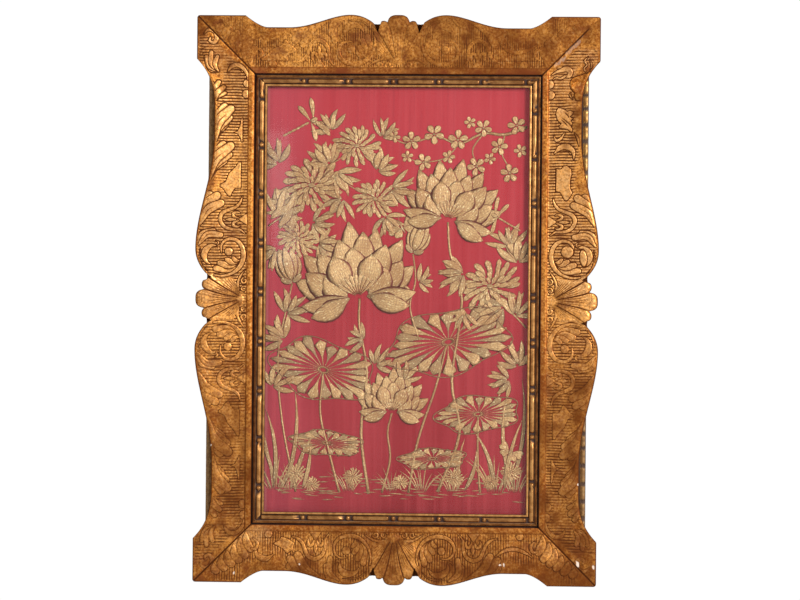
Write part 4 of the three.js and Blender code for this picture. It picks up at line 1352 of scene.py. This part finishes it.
def silkMaterial():
    g = Graph("crimsonSilk", roughness=0.42)
    object_ = g.coordinates()
    split = g.nodes.new("ShaderNodeSeparateXYZ")
    g.links.new(object_, split.inputs["Vector"])
    warp = g.noise(g.coordinates(scale=(1, 1, 0.02)), 420, 3, 0.6)
    weft = g.noise(g.coordinates(scale=(0.02, 1, 1)), 520, 3, 0.6)
    cloud = g.noise(g.coordinates(scale=(1, 1, 0.6)), 6, 3, 0.5)
    up = g.span(split.outputs["Z"], -0.32, 0.30)
    colour = g.mix(up, (0.27, 0.010, 0.014), (0.47, 0.026, 0.036))
    colour = g.mix(g.span(cloud, 0.35, 0.7, 0.0, 0.35), colour, (0.52, 0.05, 0.065))
    # painted reflection: a pink veil towards the left, as from the glass
    colour = g.mix(g.span(split.outputs["X"], -0.08, -0.2, 0.0, 0.35), colour, (0.52, 0.075, 0.115))
    streak = g.noise(g.coordinates(scale=(1, 1, 0.015)), 110, 3, 0.6)
    colour = g.mix(g.span(streak, 0.4, 0.7, 0.0, 0.3), colour, (0.58, 0.075, 0.085))
    # painted reflection: a pale pink line at the left edge, from the glass's edge
    colour = g.mix(g.span(split.outputs["X"], -0.1925, -0.1955, 0.0, 0.4), colour, (0.66, 0.22, 0.21))
    colour = g.mix(g.span(warp, 0.45, 0.75, 0.0, 0.22), colour, (0.24, 0.012, 0.028))
    colour = g.mix(g.span(weft, 0.5, 0.8, 0.0, 0.16), colour, (0.58, 0.08, 0.085))
    g.shader.inputs["Specular IOR Level"].default_value = 0.3
    g.shader.inputs["Sheen Weight"].default_value = 0.05
    g.shader.inputs["Sheen Roughness"].default_value = 0.4
    g.shader.inputs["Sheen Tint"].default_value = (1.0, 0.55, 0.65, 1.0)
    g.bump(g.maths("ADD", warp, weft), 0.25, 0.0004)
    return g.finish(colour, g.span(cloud, 0.3, 0.7, 0.38, 0.5))


def threadMaterial():
    # Threads run along each patch; couching stitches cross them.
    g = Graph("goldThread", metallic=0.35, roughness=0.45)
    uv = g.coordinates("UV")
    split = g.nodes.new("ShaderNodeSeparateXYZ")
    g.links.new(uv, split.inputs["Vector"])
    thread = g.maths("ABSOLUTE", g.maths("SINE", g.maths("MULTIPLY", split.outputs["Y"], math.pi / 0.0011)))
    stitch = g.maths("ABSOLUTE", g.maths("SINE", g.maths("MULTIPLY", split.outputs["X"], math.pi / 0.0042)))
    place = g.coordinates()
    cloud, small = g.noise(place, 26, 3, 0.6), g.noise(place, 260, 2, 0.6)
    tone = g.attribute("tone")
    gold = g.mix(g.span(cloud, 0.35, 0.65), (0.54, 0.30, 0.115), (0.76, 0.485, 0.21))
    gold = g.mix(g.span(tone, 0.3, 0.95), gold, (0.38, 0.25, 0.115))
    gold = g.mix(g.span(tone, 0.0, 0.2, 0.35, 0.0), gold, (0.92, 0.66, 0.34))
    gold = g.mix(g.span(thread, 0.0, 0.45, 0.4, 0.0), gold, (0.20, 0.10, 0.045))
    gold = g.mix(g.span(stitch, 0.0, 0.25, 0.3, 0.0), gold, (0.28, 0.13, 0.07))
    gold = g.mix(g.span(small, 0.55, 0.75, 0.0, 0.45), gold, (0.36, 0.19, 0.10))
    across = g.attribute("across")
    loose = g.maths("MULTIPLY", g.span(g.noise(place, 150, 2, 0.5), 0.3, 0.7, -1.0, 1.0), 0.0011)
    rows = g.maths("SINE", g.maths("MULTIPLY", g.maths("ADD", split.outputs["Y"], loose), math.pi / 0.0034))
    turns = g.maths("SINE", g.maths("MULTIPLY", g.maths("ADD", split.outputs["X"], loose), math.pi / 0.0058))
    gold = g.mix(g.span(g.maths("ABSOLUTE", rows), 0.0, 0.5, 0.72, 0.0), gold, (0.33, 0.12, 0.055))
    gold = g.mix(g.span(g.maths("ABSOLUTE", turns), 0.0, 0.4, 0.5, 0.0), gold, (0.36, 0.13, 0.065))
    # painted glints: bright specks along the rows of thread
    paintedGlint = g.maths("MULTIPLY", g.span(g.noise(place, 300, 2, 0.6), 0.54, 0.66), g.span(g.maths("ABSOLUTE", rows), 0.5, 1.0))
    gold = g.mix(g.maths("MULTIPLY", paintedGlint, 0.8), gold, (0.96, 0.80, 0.44))
    gold = g.mix(g.span(g.maths("ABSOLUTE", across), 0.74, 0.94, 0.0, 0.92), gold, (0.27, 0.035, 0.03))
    g.bump(g.maths("ADD", thread, g.maths("MULTIPLY", stitch, 0.5)), 0.5, 0.0004)
    return g.finish(gold, g.span(small, 0.3, 0.7, 0.4, 0.55))


def glassMaterial():
    # A pane that lets nearly all the light through and mirrors a little of it.
    g = Graph("paneGlass", metallic=1.0, roughness=0.04)
    g.shader.inputs["Base Color"].default_value = (0.75, 0.78, 0.78, 1.0)
    g.shader.inputs["Alpha"].default_value = 0.035
    return g.material


def boardMaterial():
    g = Graph("backingBoard", roughness=0.8)
    grain = g.noise(g.coordinates(scale=(1, 1, 0.05)), 90, 4, 0.6, 0.6)
    spots = g.noise(g.coordinates(), 11, 4, 0.6)
    colour = g.mix(g.span(grain, 0.3, 0.7), (0.21, 0.125, 0.062), (0.34, 0.215, 0.115))
    colour = g.mix(g.span(spots, 0.5, 0.75, 0.0, 0.5), colour, (0.13, 0.075, 0.04))
    g.bump(grain, 0.35, 0.0006)
    return g.finish(colour, g.span(grain, 0.3, 0.7, 0.72, 0.86))


finishes = [
    (gildingMaterial(), rails), (slipMaterial(), slips), (backMaterial(), backs),
    (silkMaterial(), [silk]), (threadMaterial(), embroidery.values()),
]
for material, pieces in finishes:
    for piece in pieces:
        piece.data.materials.append(material)
for node, material in (("glass", glassMaterial()), ("backboard", boardMaterial())):
    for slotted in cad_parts[node].material_slots if False else bpy.data.objects[node].material_slots:
        slotted.material = material
say("finishes set")


# Camera and light

camera = {
    "distance": 4.5, "right": 0.205, "up": 0.0, "aimRight": 0.0043, "aimUp": 0.0003,
    "lens": 134.3, "sensor": 36.0, "roll": 0.516,
}


def makeCamera():
    data = bpy.data.cameras.new("camera")
    data.lens, data.sensor_width = camera["lens"], camera["sensor"]
    data.clip_end = 50
    obj = bpy.data.objects.new("camera", data)
    bpy.context.scene.collection.objects.link(obj)
    obj.location = (camera["right"], -camera["distance"], camera["up"])
    look = Vector((camera["aimRight"], 0, camera["aimUp"])) - obj.location
    roll = Matrix.Rotation(math.radians(camera["roll"]), 3, "Z")
    obj.rotation_euler = (look.to_track_quat("-Z", "Y").to_matrix() @ roll).to_euler()
    bpy.context.scene.camera = obj


def makeStudio():
    # The room is white to the camera and dimmer as a light, so the soft boxes shape the carving.
    world = bpy.data.worlds.new("studio")
    world.use_nodes = True
    nodes, links = world.node_tree.nodes, world.node_tree.links
    background = nodes["Background"]
    background.inputs["Color"].default_value = (1, 1, 1, 1)
    path = nodes.new("ShaderNodeLightPath")
    strength = nodes.new("ShaderNodeMapRange")
    strength.inputs["To Min"].default_value = 0.34
    strength.inputs["To Max"].default_value = 1.02
    links.new(path.outputs["Is Camera Ray"], strength.inputs["Value"])
    links.new(strength.outputs["Result"], background.inputs["Strength"])
    bpy.context.scene.world = world
    bpy.context.scene.view_settings.view_transform = "Standard"


def areaLight(name, place, aim, size, power, colour=(1, 1, 1)):
    light = bpy.data.lights.new(name, "AREA")
    light.shape = "RECTANGLE"
    light.size, light.size_y = size
    light.energy = power
    light.color = colour
    obj = bpy.data.objects.new(name, light)
    obj.location = place
    obj.rotation_euler = (Vector(aim) - Vector(place)).to_track_quat("-Z", "Z").to_euler()
    bpy.context.scene.collection.objects.link(obj)
    return obj


def makeFloor():
    # A plain pale floor, well below the hanging frame.
    points = np.array([[-3000, -5000, -1200], [3000, -5000, -1200], [3000, 2500, -1200], [-3000, 2500, -1200]])
    floor = makeObject("studioFloor", points, np.array([[0, 1, 2, 3]]))
    g = Graph("paleFloor", roughness=0.8)
    floor.data.materials.append(g.finish((0.86, 0.86, 0.85)))


makeCamera()
makeStudio()
makeFloor()
areaLight("keyLight", (2.4, -2.6, 1.1), (0, 0, 0), (0.9, 1.2), 115)
areaLight("fillLight", (-1.8, -3.0, 1.6), (0, 0, 0), (1.6, 1.2), 28)
areaLight("windowStreak", (-0.545, -4.4, 0.3), (-0.2, 0, 0.05), (0.07, 0.4), 0.1)
